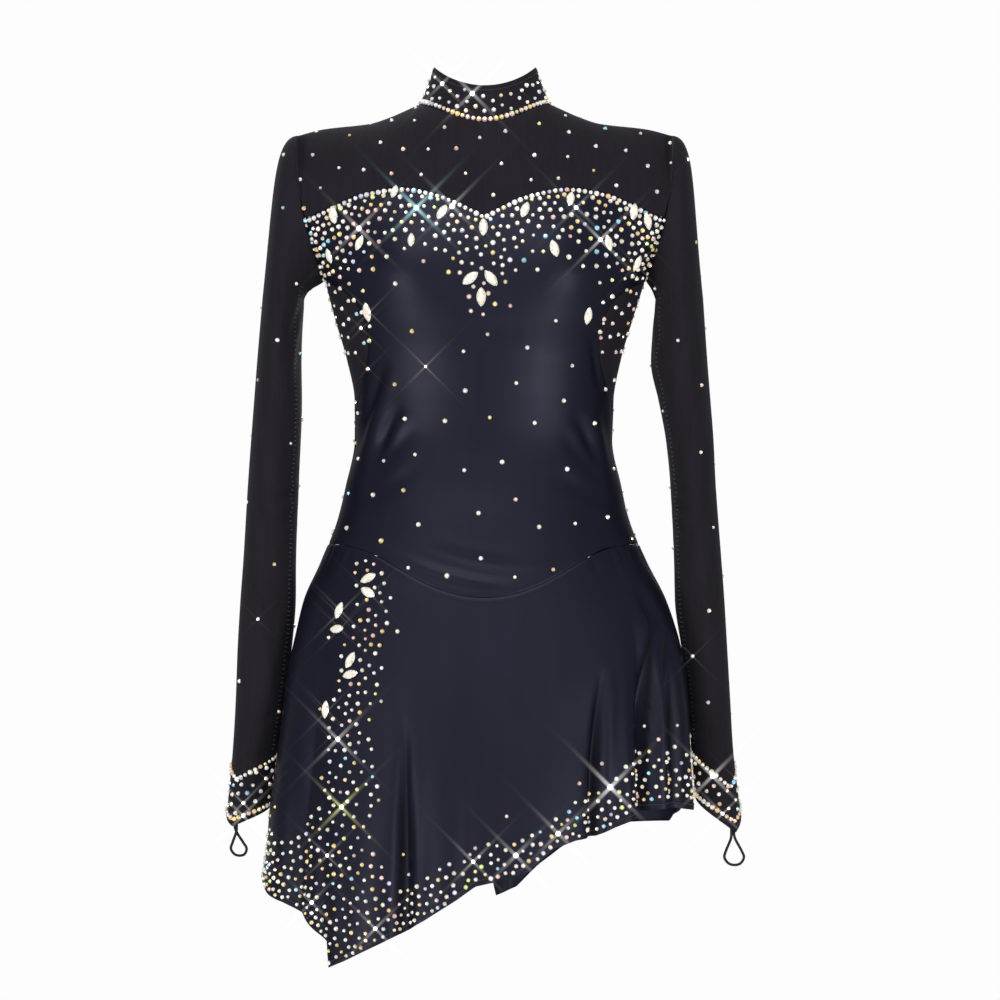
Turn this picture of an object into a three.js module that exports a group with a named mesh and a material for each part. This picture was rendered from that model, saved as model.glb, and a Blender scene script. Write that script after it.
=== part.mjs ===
// A figure skating dress, filled out as it is worn: mesh collar, yoke, back and sleeves, a stretch satin
// bodice with a sweetheart top, a flared skirt with a pointed hem, elastic finger loops and sewn-on stones.
// Millimetres. +Z is up, the front faces -Y and +X is the wearer's left. The origin is midway between the
// shoulders at the foot of the collar, where the wearer carries the dress.
import * as THREE from "three";

const degree = Math.PI / 180;

// ---------------------------------------------------------------- driving sizes
const wall = 1.2; // cloth
const gap = 0.3; // between pieces at a seam
const stoneLift = 0.5; // flat back of a large stone above its cloth
const roundness = 2.3; // exponent of the body's cross-sections; 2 is an ellipse

const neck = { halfWidth: 63, front: 58, back: 50, frontCrown: 18, backCrown: 30 };
const collarTop = { halfWidth: 48.5, front: 51.5, back: 40, sideZ: 48, frontZ: 24, backZ: 32 };
const shoulderTip = { x: 178, z: -17 };
const underarmZ = -154;
const armhole = { front: 50, back: 47, fading: 110 };
const cup = { x: 72, z: -150, wide: 38, tall: 42, depth: 9 };
const dropSeam = { sideZ: -404, frontDip: 48, frontPower: 5.5, backDip: 30, backPower: 2.5 };
const backWaistZ = { side: -292, dip: 14 };
const loopCord = { diameter: 2.6, sides: 8 };
const marquise = { long: 18.5, wide: 9.4, high: 3.2, table: 0.5, rim: 0.7 };
const button = { radius: 4.5, high: 3.4 };

// ---------------------------------------------------------------- tables and interpolation
// A smooth curve through (x, y) pairs in rising x that never overshoots them.
function smoothCurve(pairs) {
  const rise = pairs.slice(1).map(([x, y], i) => (y - pairs[i][1]) / (x - pairs[i][0]));
  const slope = pairs.map((_, i) => {
    if (i === 0) return rise[0];
    if (i === pairs.length - 1) return rise[i - 1];
    const [a, b] = [rise[i - 1], rise[i]];
    return a * b <= 0 ? 0 : (2 * a * b) / (a + b);
  });
  return (x) => {
    const last = pairs.length - 2;
    let i = pairs.findIndex(([at]) => at > x) - 1;
    if (i < 0) i = x < pairs[0][0] ? 0 : last;
    const step = pairs[i + 1][0] - pairs[i][0];
    const t = THREE.MathUtils.clamp((x - pairs[i][0]) / step, 0, 1);
    const [t2, t3] = [t * t, t * t * t];
    return (
      (2 * t3 - 3 * t2 + 1) * pairs[i][1] +
      (t3 - 2 * t2 + t) * step * slope[i] +
      (3 * t2 - 2 * t3) * pairs[i + 1][1] +
      (t3 - t2) * step * slope[i + 1]
    );
  };
}

// The same with straight lines, for an outline with corners.
function straightCurve(pairs) {
  return (x) => {
    const at = pairs.findIndex(([from]) => from > x);
    const i = at < 0 ? pairs.length - 2 : Math.max(at - 1, 0);
    const t = THREE.MathUtils.clamp((x - pairs[i][0]) / (pairs[i + 1][0] - pairs[i][0]), 0, 1);
    return THREE.MathUtils.lerp(pairs[i][1], pairs[i + 1][1], t);
  };
}

// One smooth curve for each named column, against the table's first column.
function columnsOf(names, rows) {
  const rising = [...rows].sort((a, b) => a[0] - b[0]);
  const curves = names.slice(1).map((_, k) => smoothCurve(rising.map((row) => [row[0], row[k + 1]])));
  return Object.fromEntries(names.slice(1).map((name, k) => [name, curves[k]]));
}

const named = (names, rows) => rows.map((row) => Object.fromEntries(names.map((n, k) => [n, row[k]])));

// Body and skirt: reach from the centre line to each side at a height.
const body = columnsOf(
  ["z", "left", "right", "front", "back"],
  [
    [-130, 159, 159, 104, 92],
    [-154, 152, 152, 104, 92],
    [-192, 142, 140, 101.5, 89],
    [-230, 131, 129, 94, 82],
    [-268, 124, 122, 87, 75],
    [-306, 124, 121, 84, 75],
    [-344, 131, 128, 87, 84],
    [-382, 140, 137, 93, 97],
    [-420, 155, 153, 99, 108],
    [-458, 172, 172, 106, 116],
    [-496, 180.5, 184, 112, 123],
    [-534, 186.5, 190, 118, 130],
    [-572, 191, 192.5, 123, 136],
    [-610, 196, 194, 128, 142],
    [-648, 201.5, 196.5, 132, 147],
    [-690, 206.5, 198, 136, 151],
    [-723, 211, 199, 139, 154],
    [-800, 215, 200, 145, 160],
  ],
);

const shoulderLine = smoothCurve([[63, 12], [76, 6], [90, 0], [109, -6], [153, -11], [178, -17]]);
const armholeX = smoothCurve([[0, 178], [0.3, 175], [0.6, 168], [0.85, 158], [1, 152]]);
const sweetheart = smoothCurve([
  [0, -101], [15, -93], [42, -81], [77, -74], [110, -78], [140, -89], [163, -99],
]);

// The seam between the satin front and the mesh back: its angle from the centre front, against height.
const sideSeam = smoothCurve([
  [-292, 90], [-284, 84], [-273, 77], [-255, 67], [-238, 59], [-215, 53.5], [-195, 52.5], [-180, 55],
  [-166, 65], [-154, 90],
]);

// Hem height against reach across; the front has its point at the wearer's right, with a stepped edge.
const hemReach = { left: 214, right: 198 };
const hemFront = straightCurve([
  [-211, -723], [-187, -734], [-167, -749], [-144, -766], [-142.5, -789], [-127, -782], [-93, -764],
  [-55, -743], [-25, -724], [-8, -712], [10, -708], [35, -701], [48, -691], [62, -679], [83, -672],
  [106, -669], [128, -657], [149, -649], [172, -646], [198, -655],
]);
const hemBack = straightCurve([
  [-211, -723], [-190, -734], [-150, -742], [-100, -742], [-60, -738], [5, -737], [10, -760], [31, -750],
  [54, -727], [90, -698], [120, -690], [136, -686], [148, -680], [174, -677], [177, -670], [198, -655],
]);
const stepAngle = (x, reach) => Math.asin(x / reach) / degree;
const frontStep = [stepAngle(-144, hemReach.left), stepAngle(-142.5, hemReach.left)];
const backStep = [180 - stepAngle(10, hemReach.right), 180 - stepAngle(5, hemReach.right)];

// Skirt folds: where round the body, how wide in degrees, how deep at the hem, where they fade out above.
const skirtFolds = named(
  ["angle", "wide", "depth", "top", "full"],
  [
    [-66, 9, 6, -440, -640],
    [-55, 5, -7, -480, -680],
    [-30, 8, 4, -560, -720],
    [-19, 3.6, -9, -555, -730],
    [-10, 7, 4, -560, -720],
    [12, 10, 4, -560, -700],
    [33, 3.4, -8, -530, -650],
    [41, 4.5, 7, -500, -640],
    [50, 3.8, -9, -430, -620],
    [56, 3.4, 8, -430, -610],
    [63, 3.2, -8, -470, -620],
    [72, 6, 5, -450, -620],
    [100, 8, -8, -450, -640],
    [116, 9, 9, -450, -640],
    [134, 7, -9, -480, -670],
    [150, 8, 8, -480, -670],
    [166, 7, -8, -500, -690],
    [182, 8, 9, -500, -700],
    [198, 7, -9, -500, -700],
    [215, 9, 9, -480, -690],
    [234, 7, -9, -460, -680],
    [250, 8, 7, -450, -660],
  ],
);

// Drag folds of the bodice between two points of its front: negative depths are troughs.
const bodiceFolds = named(
  ["x1", "z1", "x2", "z2", "wide", "depth"],
  [
    [-91, -236, -122, -312, 6, -4],
    [-84, -250, -110, -312, 5, 2.5],
    [-80, -280, -102, -336, 7, -4.5],
    [-70, -292, -90, -340, 7, 2.5],
    [96, -240, 112, -280, 6, -3.5],
    [86, -292, 108, -340, 7, -4],
    [76, -300, 94, -344, 7, 2],
    [-76, -428, -14, -439, 5, 2.2],
    [-14, -439, 50, -430, 5, 2.2],
    [-70, -419, 0, -425, 5, -2],
    [60, -431, 112, -404, 5, -2.2],
  ],
);

// ---------------------------------------------------------------- the dress as surfaces
const lerp = THREE.MathUtils.lerp;
const fade = (from, to, at) => THREE.MathUtils.smoothstep((at - from) / (to - from), 0, 1);
const bell = (x) => Math.exp(-x * x);

// How far a body point stands proud of the plain section: the bust cups and the drag folds.
function bodiceRelief(x, z) {
  const bust = cup.depth * bell((Math.abs(x) - cup.x) / cup.wide) * bell((z - cup.z) / cup.tall);
  return bodiceFolds.reduce((sum, f) => {
    const [dx, dz] = [f.x2 - f.x1, f.z2 - f.z1];
    const along = ((x - f.x1) * dx + (z - f.z1) * dz) / (dx * dx + dz * dz);
    const t = THREE.MathUtils.clamp(along, 0, 1);
    const away = Math.hypot(x - f.x1 - t * dx, z - f.z1 - t * dz);
    const ends = Math.sqrt(Math.max(0, 1 - (2 * t - 1) ** 4));
    return sum + f.depth * ends * bell(away / f.wide);
  }, bust);
}

// A point of the body's plain section at a height; angle 0 is the centre front and 90 the wearer's left.
function sectionPoint(angle, z) {
  const [sin, cos] = [Math.sin(angle * degree), Math.cos(angle * degree)];
  const reach = sin < 0 ? body.left(z) : body.right(z);
  const depth = cos >= 0 ? body.front(z) : body.back(z);
  const fullness = (1 - Math.abs(sin) ** roundness) ** (1 / roundness);
  return new THREE.Vector3(sin * reach, (cos >= 0 ? -1 : 1) * (depth * fullness + gap / 2), z);
}

// Moves a point straight out from the body's centre line, by angle.
function movedOut(point, angle, distance) {
  point.x += Math.sin(angle * degree) * distance;
  point.y -= Math.cos(angle * degree) * distance;
  return point;
}

const isFront = (angle) => Math.cos(angle * degree) >= -1e-9;
const fromCentre = (angle) => {
  const turned = Math.abs(((angle + 540) % 360) - 180);
  return Math.min(turned, 180 - turned) / 90;
};

// The shoulder line's height, carried on smoothly inside the neck to a crown at its front and at its back.
function shoulderZ(x, front) {
  if (x >= neck.halfWidth) return shoulderLine(x);
  const t = x / neck.halfWidth;
  const [crown, side] = [front ? neck.frontCrown : neck.backCrown, shoulderLine(neck.halfWidth)];
  const slope = shoulderLine(neck.halfWidth + 0.01) - side;
  return lerp(crown, side, t * t * (3 - 2 * t)) + (t ** 3 - t * t) * neck.halfWidth * slope * 100;
}

// How far the body fills out beside an armhole: a half-ellipse at the armhole's own edge, softer and longer
// towards the centre.
function armholeFullness(side, front, topZ, z) {
  const bottom = underarmZ - armhole.fading * (1 - side) ** 0.8;
  const t = THREE.MathUtils.clamp((topZ - z) / (topZ - bottom), 0, 1);
  const [soft, round] = [Math.sin(Math.PI * t) ** 1.5, Math.sqrt(1 - (2 * t - 1) ** 2)];
  return (front ? armhole.front : armhole.back) * side ** 4 * lerp(soft, round, side ** 16);
}

// The shell from the shoulder line (level 0) to the underarm (level 1): a quarter-round from the line to the
// body's section.
function yokePoint(angle, level) {
  const [side, front] = [fromCentre(angle), isFront(angle)];
  const sin = Math.sin(angle * degree);
  const topZ = shoulderZ(Math.abs(sin) * shoulderTip.x, front);
  const z = lerp(topZ, underarmZ, level);
  const low = Math.abs(sectionPoint(angle, underarmZ).y) - gap / 2;
  const depth = low * Math.sqrt(1 - (1 - level) ** 2) + armholeFullness(side, front, topZ, z) + gap / 2;
  return new THREE.Vector3(sin * armholeX(level), front ? -depth : depth, z);
}

// The level at which the neck's oval leaves the shell: 0 from the side of the neck out along the shoulder.
function neckLevel(angle) {
  const x = Math.abs(Math.sin(angle * degree)) * shoulderTip.x;
  if (x >= neck.halfWidth - 1e-6) return 0;
  const depth = (isFront(angle) ? neck.front : neck.back) * Math.sqrt(1 - (x / neck.halfWidth) ** 2);
  const low = Math.abs(sectionPoint(angle, underarmZ).y) - gap / 2;
  return 1 - Math.sqrt(1 - (depth / low) ** 2);
}

function dropSeamZ(angle) {
  const cos = Math.cos(angle * degree);
  const frontDip = dropSeam.frontDip * Math.max(0, cos) ** dropSeam.frontPower;
  const backDip = dropSeam.backDip * Math.max(0, -cos) ** dropSeam.backPower;
  return dropSeam.sideZ - frontDip - backDip;
}

// The whole body shell: levels 0 to 1 are the yoke, 1 to 2 run from the underarm to the drop-waist seam.
function bodyPoint(angle, level) {
  if (level <= 1) {
    const point = yokePoint(angle, level);
    return isFront(angle) ? movedOut(point, angle, bodiceRelief(point.x, point.z)) : point;
  }
  const [side, front] = [fromCentre(angle), isFront(angle)];
  const point = sectionPoint(angle, lerp(underarmZ, dropSeamZ(angle), level - 1));
  const topZ = shoulderZ(Math.abs(Math.sin(angle * degree)) * shoulderTip.x, front);
  point.y += (front ? -1 : 1) * armholeFullness(side, front, topZ, point.z);
  return front ? movedOut(point, angle, bodiceRelief(point.x, point.z)) : point;
}

// The side seam's angle at a level, and the levels of the sweetheart and of the mesh back's lower edge.
const sideAngle = (level) => (level <= 1 ? 90 : sideSeam(lerp(underarmZ, dropSeam.sideZ, level - 1)));

function sweetheartLevel(angle) {
  const sin = Math.abs(Math.sin(angle * degree));
  const topZ = shoulderZ(sin * shoulderTip.x, true);
  let level = 0.5;
  for (let pass = 0; pass < 6; pass++)
    level = (topZ - sweetheart(sin * armholeX(level))) / (topZ - underarmZ);
  return level;
}

function backWaistLevel(angle) {
  const dip = backWaistZ.dip * Math.max(0, -Math.cos(angle * degree));
  return 1 + (underarmZ - backWaistZ.side + dip) / (underarmZ - dropSeamZ(angle));
}

function hemZ(angle) {
  const sin = Math.sin(angle * degree);
  const across = sin * (sin < 0 ? hemReach.left : hemReach.right);
  return isFront(angle) ? hemFront(across) : hemBack(across);
}

// The skirt from the drop-waist seam (0) to the hem (1), with its folds deepening downwards.
function skirtPoint(angle, share) {
  const z = lerp(dropSeamZ(angle) - gap, hemZ(angle), share);
  const out = skirtFolds.reduce((sum, f) => {
    const turned = ((angle - f.angle + 540) % 360) - 180;
    return sum + f.depth * bell(turned / f.wide) * fade(f.top, f.full, z);
  }, 0);
  return movedOut(sectionPoint(angle, z), angle, out);
}

// Sleeves: reach of the outer and inner sides from the body's centre line, half depth and centre depth.
const sleeveColumns = ["z", "outer", "inner", "depth", "y"];
const sleeves = {
  right: {
    sign: -1,
    table: columnsOf(sleeveColumns, [
      [-172, 211, 172, 51, 0],
      [-230, 216, 175, 49, 0],
      [-268, 219, 174, 47, 0],
      [-344, 225, 177, 43, 3],
      [-420, 230, 180, 39, 7],
      [-458, 233, 180.5, 37, 9],
      [-505, 236, 184.5, 35, 12],
      [-553, 238, 191, 33, 15],
      [-600, 241, 197.5, 31, 18],
      [-680, 249, 208, 29, 22],
    ]),
    hem: { tip: -673, inner: -655.5 },
  },
  left: {
    sign: 1,
    table: columnsOf(sleeveColumns, [
      [-172, 207, 162, 51, 0],
      [-230, 211, 158, 49, 0],
      [-268, 214, 165, 47, 0],
      [-306, 217, 172, 45, 1],
      [-344, 219, 176, 43, 3],
      [-420, 225, 180, 39, 7],
      [-458, 228, 181, 37, 9],
      [-505, 231, 187.5, 35, 12],
      [-553, 234, 193.5, 33, 15],
      [-600, 237, 197, 31, 18],
      [-680, 247, 204, 29, 22],
    ]),
    hem: { tip: -679, inner: -648 },
  },
};
const capZ = -172; // where the sleeve head has become a plain tube
const cuffZ = -600; // where the cuff's slope begins
const cuffTipTurn = 54; // the cuff's point lies between its outer side and its front

// A ring of the sleeve; turn 0 is its outer side, 90 the front, 180 the inner side.
function sleeveRing(sleeve, turn, z) {
  const { outer, inner, depth, y } = sleeve.table;
  const [sin, cos] = [Math.sin(turn * degree), Math.cos(turn * degree)];
  const [centre, half] = [(outer(z) + inner(z)) / 2, (outer(z) - inner(z)) / 2];
  return new THREE.Vector3(sleeve.sign * (centre + half * cos), y(z) - depth(z) * sin, z);
}

function armholePoint(sleeve, turn) {
  const [sin, level] = [Math.sin(turn * degree), (1 - Math.cos(turn * degree)) / 2];
  return new THREE.Vector3(
    sleeve.sign * (armholeX(level) + gap),
    -sin * (sin > 0 ? armhole.front : armhole.back),
    lerp(shoulderTip.z, underarmZ, level),
  );
}

// The cuff's hem: lowest at its point, and rising from there both ways round as the sine of half the turn.
function cuffHemZ(sleeve, turn) {
  const { tip, inner } = sleeve.hem;
  const risen = (at) => Math.abs(Math.sin(((at - cuffTipTurn) / 2) * degree));
  return lerp(tip, inner, risen(turn) / risen(180));
}

// The sleeve: levels 0 to 1 curve from the armhole to a plain tube, 1 to 2 reach the cuff, 2 to 3 its hem.
function sleevePoint(sleeve, turn, level) {
  if (level > 2) return sleeveRing(sleeve, turn, lerp(cuffZ, cuffHemZ(sleeve, turn), level - 2));
  if (level > 1) return sleeveRing(sleeve, turn, lerp(capZ, cuffZ, level - 1));
  const outer = (1 + Math.cos(turn * degree)) / 2;
  const [start, end] = [armholePoint(sleeve, turn), sleeveRing(sleeve, turn, capZ)];
  const leave = new THREE.Vector3(
    sleeve.sign * (3.5 + 18.5 * outer),
    -2 * Math.sin(turn * degree),
    -6 + 3 * outer,
  );
  const arrive = new THREE.Vector3(sleeve.sign * (-4 - 7 * outer), 0, 12 + 93 * outer);
  const [first, second] = [start.clone().add(leave), end.clone().add(arrive)];
  return new THREE.CubicBezierCurve3(start, first, second, end).getPoint(level);
}

// The collar from the neck seam (0) to its top edge (1), drawn in as it rises. Its angle runs round the oval
// of the neck.
function neckSeamPoint(angle) {
  const [sin, cos] = [Math.sin(angle * degree), Math.cos(angle * degree)];
  const bodyAngle = Math.asin((sin * neck.halfWidth) / shoulderTip.x) / degree;
  const around = cos >= -1e-9 ? bodyAngle : 180 - bodyAngle;
  return yokePoint(around, neckLevel(around));
}

function collarPoint(angle, share) {
  const [sin, cos] = [Math.sin(angle * degree), Math.cos(angle * degree)];
  const base = neckSeamPoint(angle);
  const [high, depth] = cos >= 0 ? [collarTop.frontZ, collarTop.front] : [collarTop.backZ, collarTop.back];
  const rim = new THREE.Vector3(
    sin * collarTop.halfWidth,
    -cos * depth,
    collarTop.sideZ + (high - collarTop.sideZ) * Math.abs(cos) ** 1.6,
  );
  const drawnIn = share ** 0.8;
  return new THREE.Vector3(
    lerp(base.x, rim.x, drawnIn),
    lerp(base.y, rim.y, drawnIn),
    lerp(base.z + gap, rim.z, share),
  );
}

// ---------------------------------------------------------------- solids
const range = (from, to, count) => Array.from({ length: count + 1 }, (_, i) => lerp(from, to, i / count));

// Outward unit normal of a surface, from small steps that stay inside its sheet.
function normalOf(surface, u, v, span) {
  const tiny = 1e-5;
  const step = (a, [low, high]) => {
    const reach = tiny * (high - low);
    return [Math.max(a - reach, low), Math.min(a + reach, high)];
  };
  const [u0, u1] = span.closed ? [u - tiny * 360, u + tiny * 360] : step(u, span.u);
  const [v0, v1] = step(v, span.v);
  const across = surface(u1, v).sub(surface(u0, v));
  const down = surface(u, v1).sub(surface(u, v0));
  return across.cross(down).multiplyScalar(span.facing).normalize();
}

// A cloth wall: the surface's grid of points outside, the same moved in by the wall's thickness inside,
// and a rim round each open edge. A closed sheet wraps round in u. Where seamOut gives a direction, the wall
// is moved in along that instead, so that the rims of two pieces face each other across their seam.
function clothWall(us, vs, surface, { facing = 1, closed = false, seamOut = () => null } = {}) {
  const span = { u: [us[0], us.at(-1)], v: [vs[0], vs.at(-1)], facing, closed };
  const columns = closed ? us.slice(0, -1) : us;
  const points = [];
  for (const inside of [0, 1])
    for (const v of vs)
      for (const u of columns) {
        const point = surface(u, v);
        const out = seamOut(u, v, point) || normalOf(surface, u, v, span);
        points.push(point.addScaledVector(out, -wall * inside));
      }
  const [nu, nv] = [columns.length, vs.length];
  const at = (layer, i, j) => layer * nu * nv + j * nu + (i % nu);
  const faces = [];
  const quad = (a, b, c, d) => faces.push([a, b, c], [a, c, d]);
  const lastColumn = closed ? nu : nu - 1;
  for (let j = 0; j < nv - 1; j++)
    for (let i = 0; i < lastColumn; i++) {
      quad(at(0, i, j), at(0, i + 1, j), at(0, i + 1, j + 1), at(0, i, j + 1));
      quad(at(1, i, j), at(1, i, j + 1), at(1, i + 1, j + 1), at(1, i + 1, j));
    }
  for (let i = 0; i < lastColumn; i++) {
    quad(at(0, i + 1, 0), at(0, i, 0), at(1, i, 0), at(1, i + 1, 0));
    quad(at(0, i, nv - 1), at(0, i + 1, nv - 1), at(1, i + 1, nv - 1), at(1, i, nv - 1));
  }
  if (!closed)
    for (let j = 0; j < nv - 1; j++) {
      quad(at(0, 0, j), at(0, 0, j + 1), at(1, 0, j + 1), at(1, 0, j));
      quad(at(0, nu - 1, j + 1), at(0, nu - 1, j), at(1, nu - 1, j), at(1, nu - 1, j + 1));
    }
  return solidOf(points, facing > 0 ? faces : faces.map(([a, b, c]) => [a, c, b]));
}

function solidOf(points, faces) {
  const geometry = new THREE.BufferGeometry();
  geometry.setAttribute("position", new THREE.Float32BufferAttribute(points.flatMap((p) => p.toArray()), 3));
  geometry.setIndex(faces.flat());
  geometry.computeVertexNormals();
  return geometry;
}

// ---------------------------------------------------------------- materials
const finish = (color, roughness, metalness) =>
  new THREE.MeshStandardMaterial({ color, roughness, metalness });
const materials = {
  mesh: finish(0x201d24, 0.75, 0),
  satin: finish(0x1c1c2b, 0.35, 0),
  elastic: finish(0x15141a, 0.8, 0),
  crystal: finish(0xe9e0c4, 0.12, 0.6),
  button: finish(0x1a1a22, 0.3, 0),
};

const dress = new THREE.Group();
dress.name = "figure_skating_dress";

function addPiece(name, geometry, material) {
  const mesh = new THREE.Mesh(geometry, material);
  mesh.name = name;
  dress.add(mesh);
  return mesh;
}

// ---------------------------------------------------------------- panels
// Panels are drawn on a grid of u across and v down; each maps that to an angle and a level of the body.
const armholeMid = (shoulderTip.z + underarmZ) / 2;
const armholeHalf = (shoulderTip.z - underarmZ) / 2;
const awayFromArm = ({ y, z }) => {
  const half = y < 0 ? armhole.front : armhole.back;
  return new THREE.Vector3(0, y / half ** 2, (z - armholeMid) / armholeHalf ** 2).normalize();
};
const awayFromNeck = ({ x, y }) =>
  new THREE.Vector3(x / neck.halfWidth ** 2, y / (y < 0 ? neck.front : neck.back) ** 2, 0).normalize();
const seamShare = gap / 2 / (shoulderTip.z - underarmZ); // half a seam's gap as a share of a level
const halfGapAngle = 0.07; // degrees that part two panels by half a seam's gap at the body's side
const neckSteps = 7; // round each quarter of the neck, shared by the collar and the pieces under it
const sideHeights = [-154, -166, -180, -196, -214, -232, -250, -268, -281, -292];
const lowHeights = [-310, -330, -350, -368, -386, -404];
const levelAt = (z) => 1 + (underarmZ - z) / (underarmZ - dropSeam.sideZ);
// Angles from the centre out to the side: the neck's steps first, then even ones to the armhole.
const bodyAngleOf = (turn) => Math.asin((Math.sin(turn * degree) * neck.halfWidth) / shoulderTip.x) / degree;
const toSide = (steps) => [
  ...range(0, 90, neckSteps).map(bodyAngleOf),
  ...range(bodyAngleOf(90), 90, steps).slice(1),
];
const frontAcross = [...toSide(10).map((angle) => -angle).reverse(), ...toSide(10).slice(1)];
const backShares = toSide(8).map((angle) => 1 - angle / 90).reverse();
const roundLevels = (count) => range(0, 180, count).map((turn) => (1 - Math.cos(turn * degree)) / 2);

function addYokeAndBodice() {
  addPiece(
    "yoke_front",
    clothWall(frontAcross, range(0, 1, 6), (angle, v) =>
      bodyPoint(angle, lerp(neckLevel(angle), sweetheartLevel(angle) - seamShare, v ** 1.5)),
    { facing: -1, seamOut: (angle, v, point) => Math.abs(angle) === 90 && awayFromArm(point) }),
    materials.mesh,
  );

  // v 0 to 1 runs from the sweetheart to the underarm, and 1 to 2 on to the drop-waist seam.
  const frontPoint = (u, v) => {
    const level = v > 1 ? v : lerp(sweetheartLevel(u * 90) + seamShare, 1, v);
    return bodyPoint(u * (sideAngle(level) - (v > 1 ? halfGapAngle : 0)), level);
  };
  const frontLevels = [0, 0.38, 0.63, 0.83, 0.956, ...[...sideHeights, ...lowHeights].map(levelAt)];
  addPiece(
    "bodice_front",
    clothWall(frontAcross.map((angle) => angle / 90), frontLevels, frontPoint, {
      facing: -1,
      seamOut: (u, v, point) => Math.abs(u) === 1 && v < 1 && awayFromArm(point),
    }),
    materials.satin,
  );

  // Half of the mesh back: u 0 is its edge at the armhole or side seam, u 1 the centre back.
  const backLevels = [...roundLevels(10).slice(0, -1), ...sideHeights.map(levelAt)];
  const meshEnd = backLevels.at(-1);
  for (const [side, sign] of [["right", -1], ["left", 1]]) {
    const backPoint = (u, v) => {
      const edge = Math.max(sideAngle(v - 2 * seamShare), sideAngle(v + 2 * seamShare)) + halfGapAngle;
      const angle = sign * lerp(edge, 180 - halfGapAngle, u);
      const end = backWaistLevel(angle) - seamShare;
      const level = v <= 1 ? lerp(neckLevel(angle), 1, v) : lerp(1, end, (v - 1) / (meshEnd - 1));
      return bodyPoint(angle, level);
    };
    addPiece(
      "back_mesh_" + side,
      clothWall(backShares, backLevels, backPoint, {
        facing: -sign,
        seamOut: (u, v, point) => u === 0 && v < 1 && awayFromArm(point),
      }),
      materials.mesh,
    );
  }

  const lowBackPoint = (angle, v) => bodyPoint(angle, lerp(backWaistLevel(angle) + seamShare, 2, v));
  const lowBackAngles = backShares.map((share) => lerp(90 + halfGapAngle, 180, share));
  addPiece(
    "bodice_back",
    clothWall(
      [...lowBackAngles, ...lowBackAngles.slice(0, -1).map((angle) => 360 - angle).reverse()],
      range(0, 1, 6),
      lowBackPoint,
      { facing: -1 },
    ),
    materials.satin,
  );
}

function addSkirt() {
  const frontAngles = [...range(-90, frontStep[0], 13), ...range(frontStep[1], 90, 37)];
  const front = clothWall(frontAngles, range(0, 1, 10), skirtPoint, { facing: -1 });
  addPiece("skirt_front", front, materials.satin);
  const backAngles = [
    ...range(90 + halfGapAngle, backStep[0], 20),
    ...range(backStep[1], 270 - halfGapAngle, 20),
  ];
  const back = clothWall(backAngles, range(0, 1, 9), skirtPoint, { facing: -1 });
  addPiece("skirt_back", back, materials.satin);
}

// Each sleeve is two tubes that meet at the elbow.
function addSleeves() {
  const elbow = 1 + 4 / 9;
  const elbowGap = gap / 2 / (capZ - cuffZ);
  const tubes = {
    upper: [0, 0.12, 0.3, 0.55, 0.8, ...range(1, elbow, 4).slice(0, -1), elbow - elbowGap],
    lower: [elbow + elbowGap, ...range(elbow, 2, 5).slice(1), 2.5, 3],
  };
  for (const [side, sleeve] of Object.entries(sleeves))
    for (const [part, levels] of Object.entries(tubes))
      addPiece(
        "sleeve_" + part + "_" + side,
        clothWall(range(0, 360, 20), levels, (turn, level) => sleevePoint(sleeve, turn, level), {
          facing: sleeve.sign,
          closed: true,
          seamOut: (turn, level, point) => level === 0 && awayFromArm(point),
        }),
        materials.mesh,
      );
}

function addCollar() {
  const slit = 0.4; // degrees from the centre back to each end
  const half = [...range(0, 90, neckSteps), ...range(90, 180, neckSteps).slice(1, -1), 180 - slit];
  const angles = [...half.slice(1).map((angle) => -angle).reverse(), ...half];
  const seamOut = (angle, v, point) => v === 0 && awayFromNeck(point);
  addPiece("collar", clothWall(angles, range(0, 1, 3), collarPoint, { seamOut }), materials.mesh);
}

// ---------------------------------------------------------------- sewn on
// The place on a surface whose front view is (x, z), found by Newton's steps from a first guess.
function spotOn(surface, x, z, guess) {
  let [u, v] = guess;
  const tiny = 1e-4;
  for (let pass = 0; pass < 12; pass++) {
    const here = surface(u, v);
    const [du, dv] = [surface(u + tiny, v).sub(here), surface(u, v + tiny).sub(here)];
    const size = (du.x * dv.z - dv.x * du.z) / tiny;
    const [ex, ez] = [x - here.x, z - here.z];
    u += (ex * dv.z - ez * dv.x) / size;
    v += (ez * du.x - ex * du.z) / size;
  }
  const here = surface(u, v);
  const normal = surface(u + tiny, v).sub(here).cross(surface(u, v + tiny).sub(here)).normalize();
  return { here, normal: normal.y < 0 ? normal : normal.negate() };
}

// A pointed oval stone with a flat back, a thin rim and a faceted crown, lying in XY with its back at z 0.
function marquiseGeometry() {
  const count = 10;
  const outline = range(0, 360, count).slice(0, -1).map((turn) => {
    const [sin, cos] = [Math.sin(turn * degree), Math.cos(turn * degree)];
    return [(marquise.wide / 2) * sin * Math.abs(sin) ** 0.5, (marquise.long / 2) * cos];
  });
  const ring = (scale, z) => outline.map(([x, y]) => new THREE.Vector3(x * scale, y * scale, z));
  const points = [
    ...ring(0.9, 0),
    ...ring(1, marquise.rim),
    ...ring(marquise.table, marquise.high),
    new THREE.Vector3(0, 0, 0),
    new THREE.Vector3(0, 0, marquise.high),
  ];
  const faces = [];
  for (let i = 0; i < count; i++) {
    const n = (i + 1) % count;
    faces.push([3 * count, i, n], [3 * count + 1, 2 * count + n, 2 * count + i]);
    for (const low of [0, count]) {
      const high = low + count;
      faces.push([low + i, high + n, low + n], [low + i, high + i, high + n]);
    }
  }
  return solidOf(points, faces);
}

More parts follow.
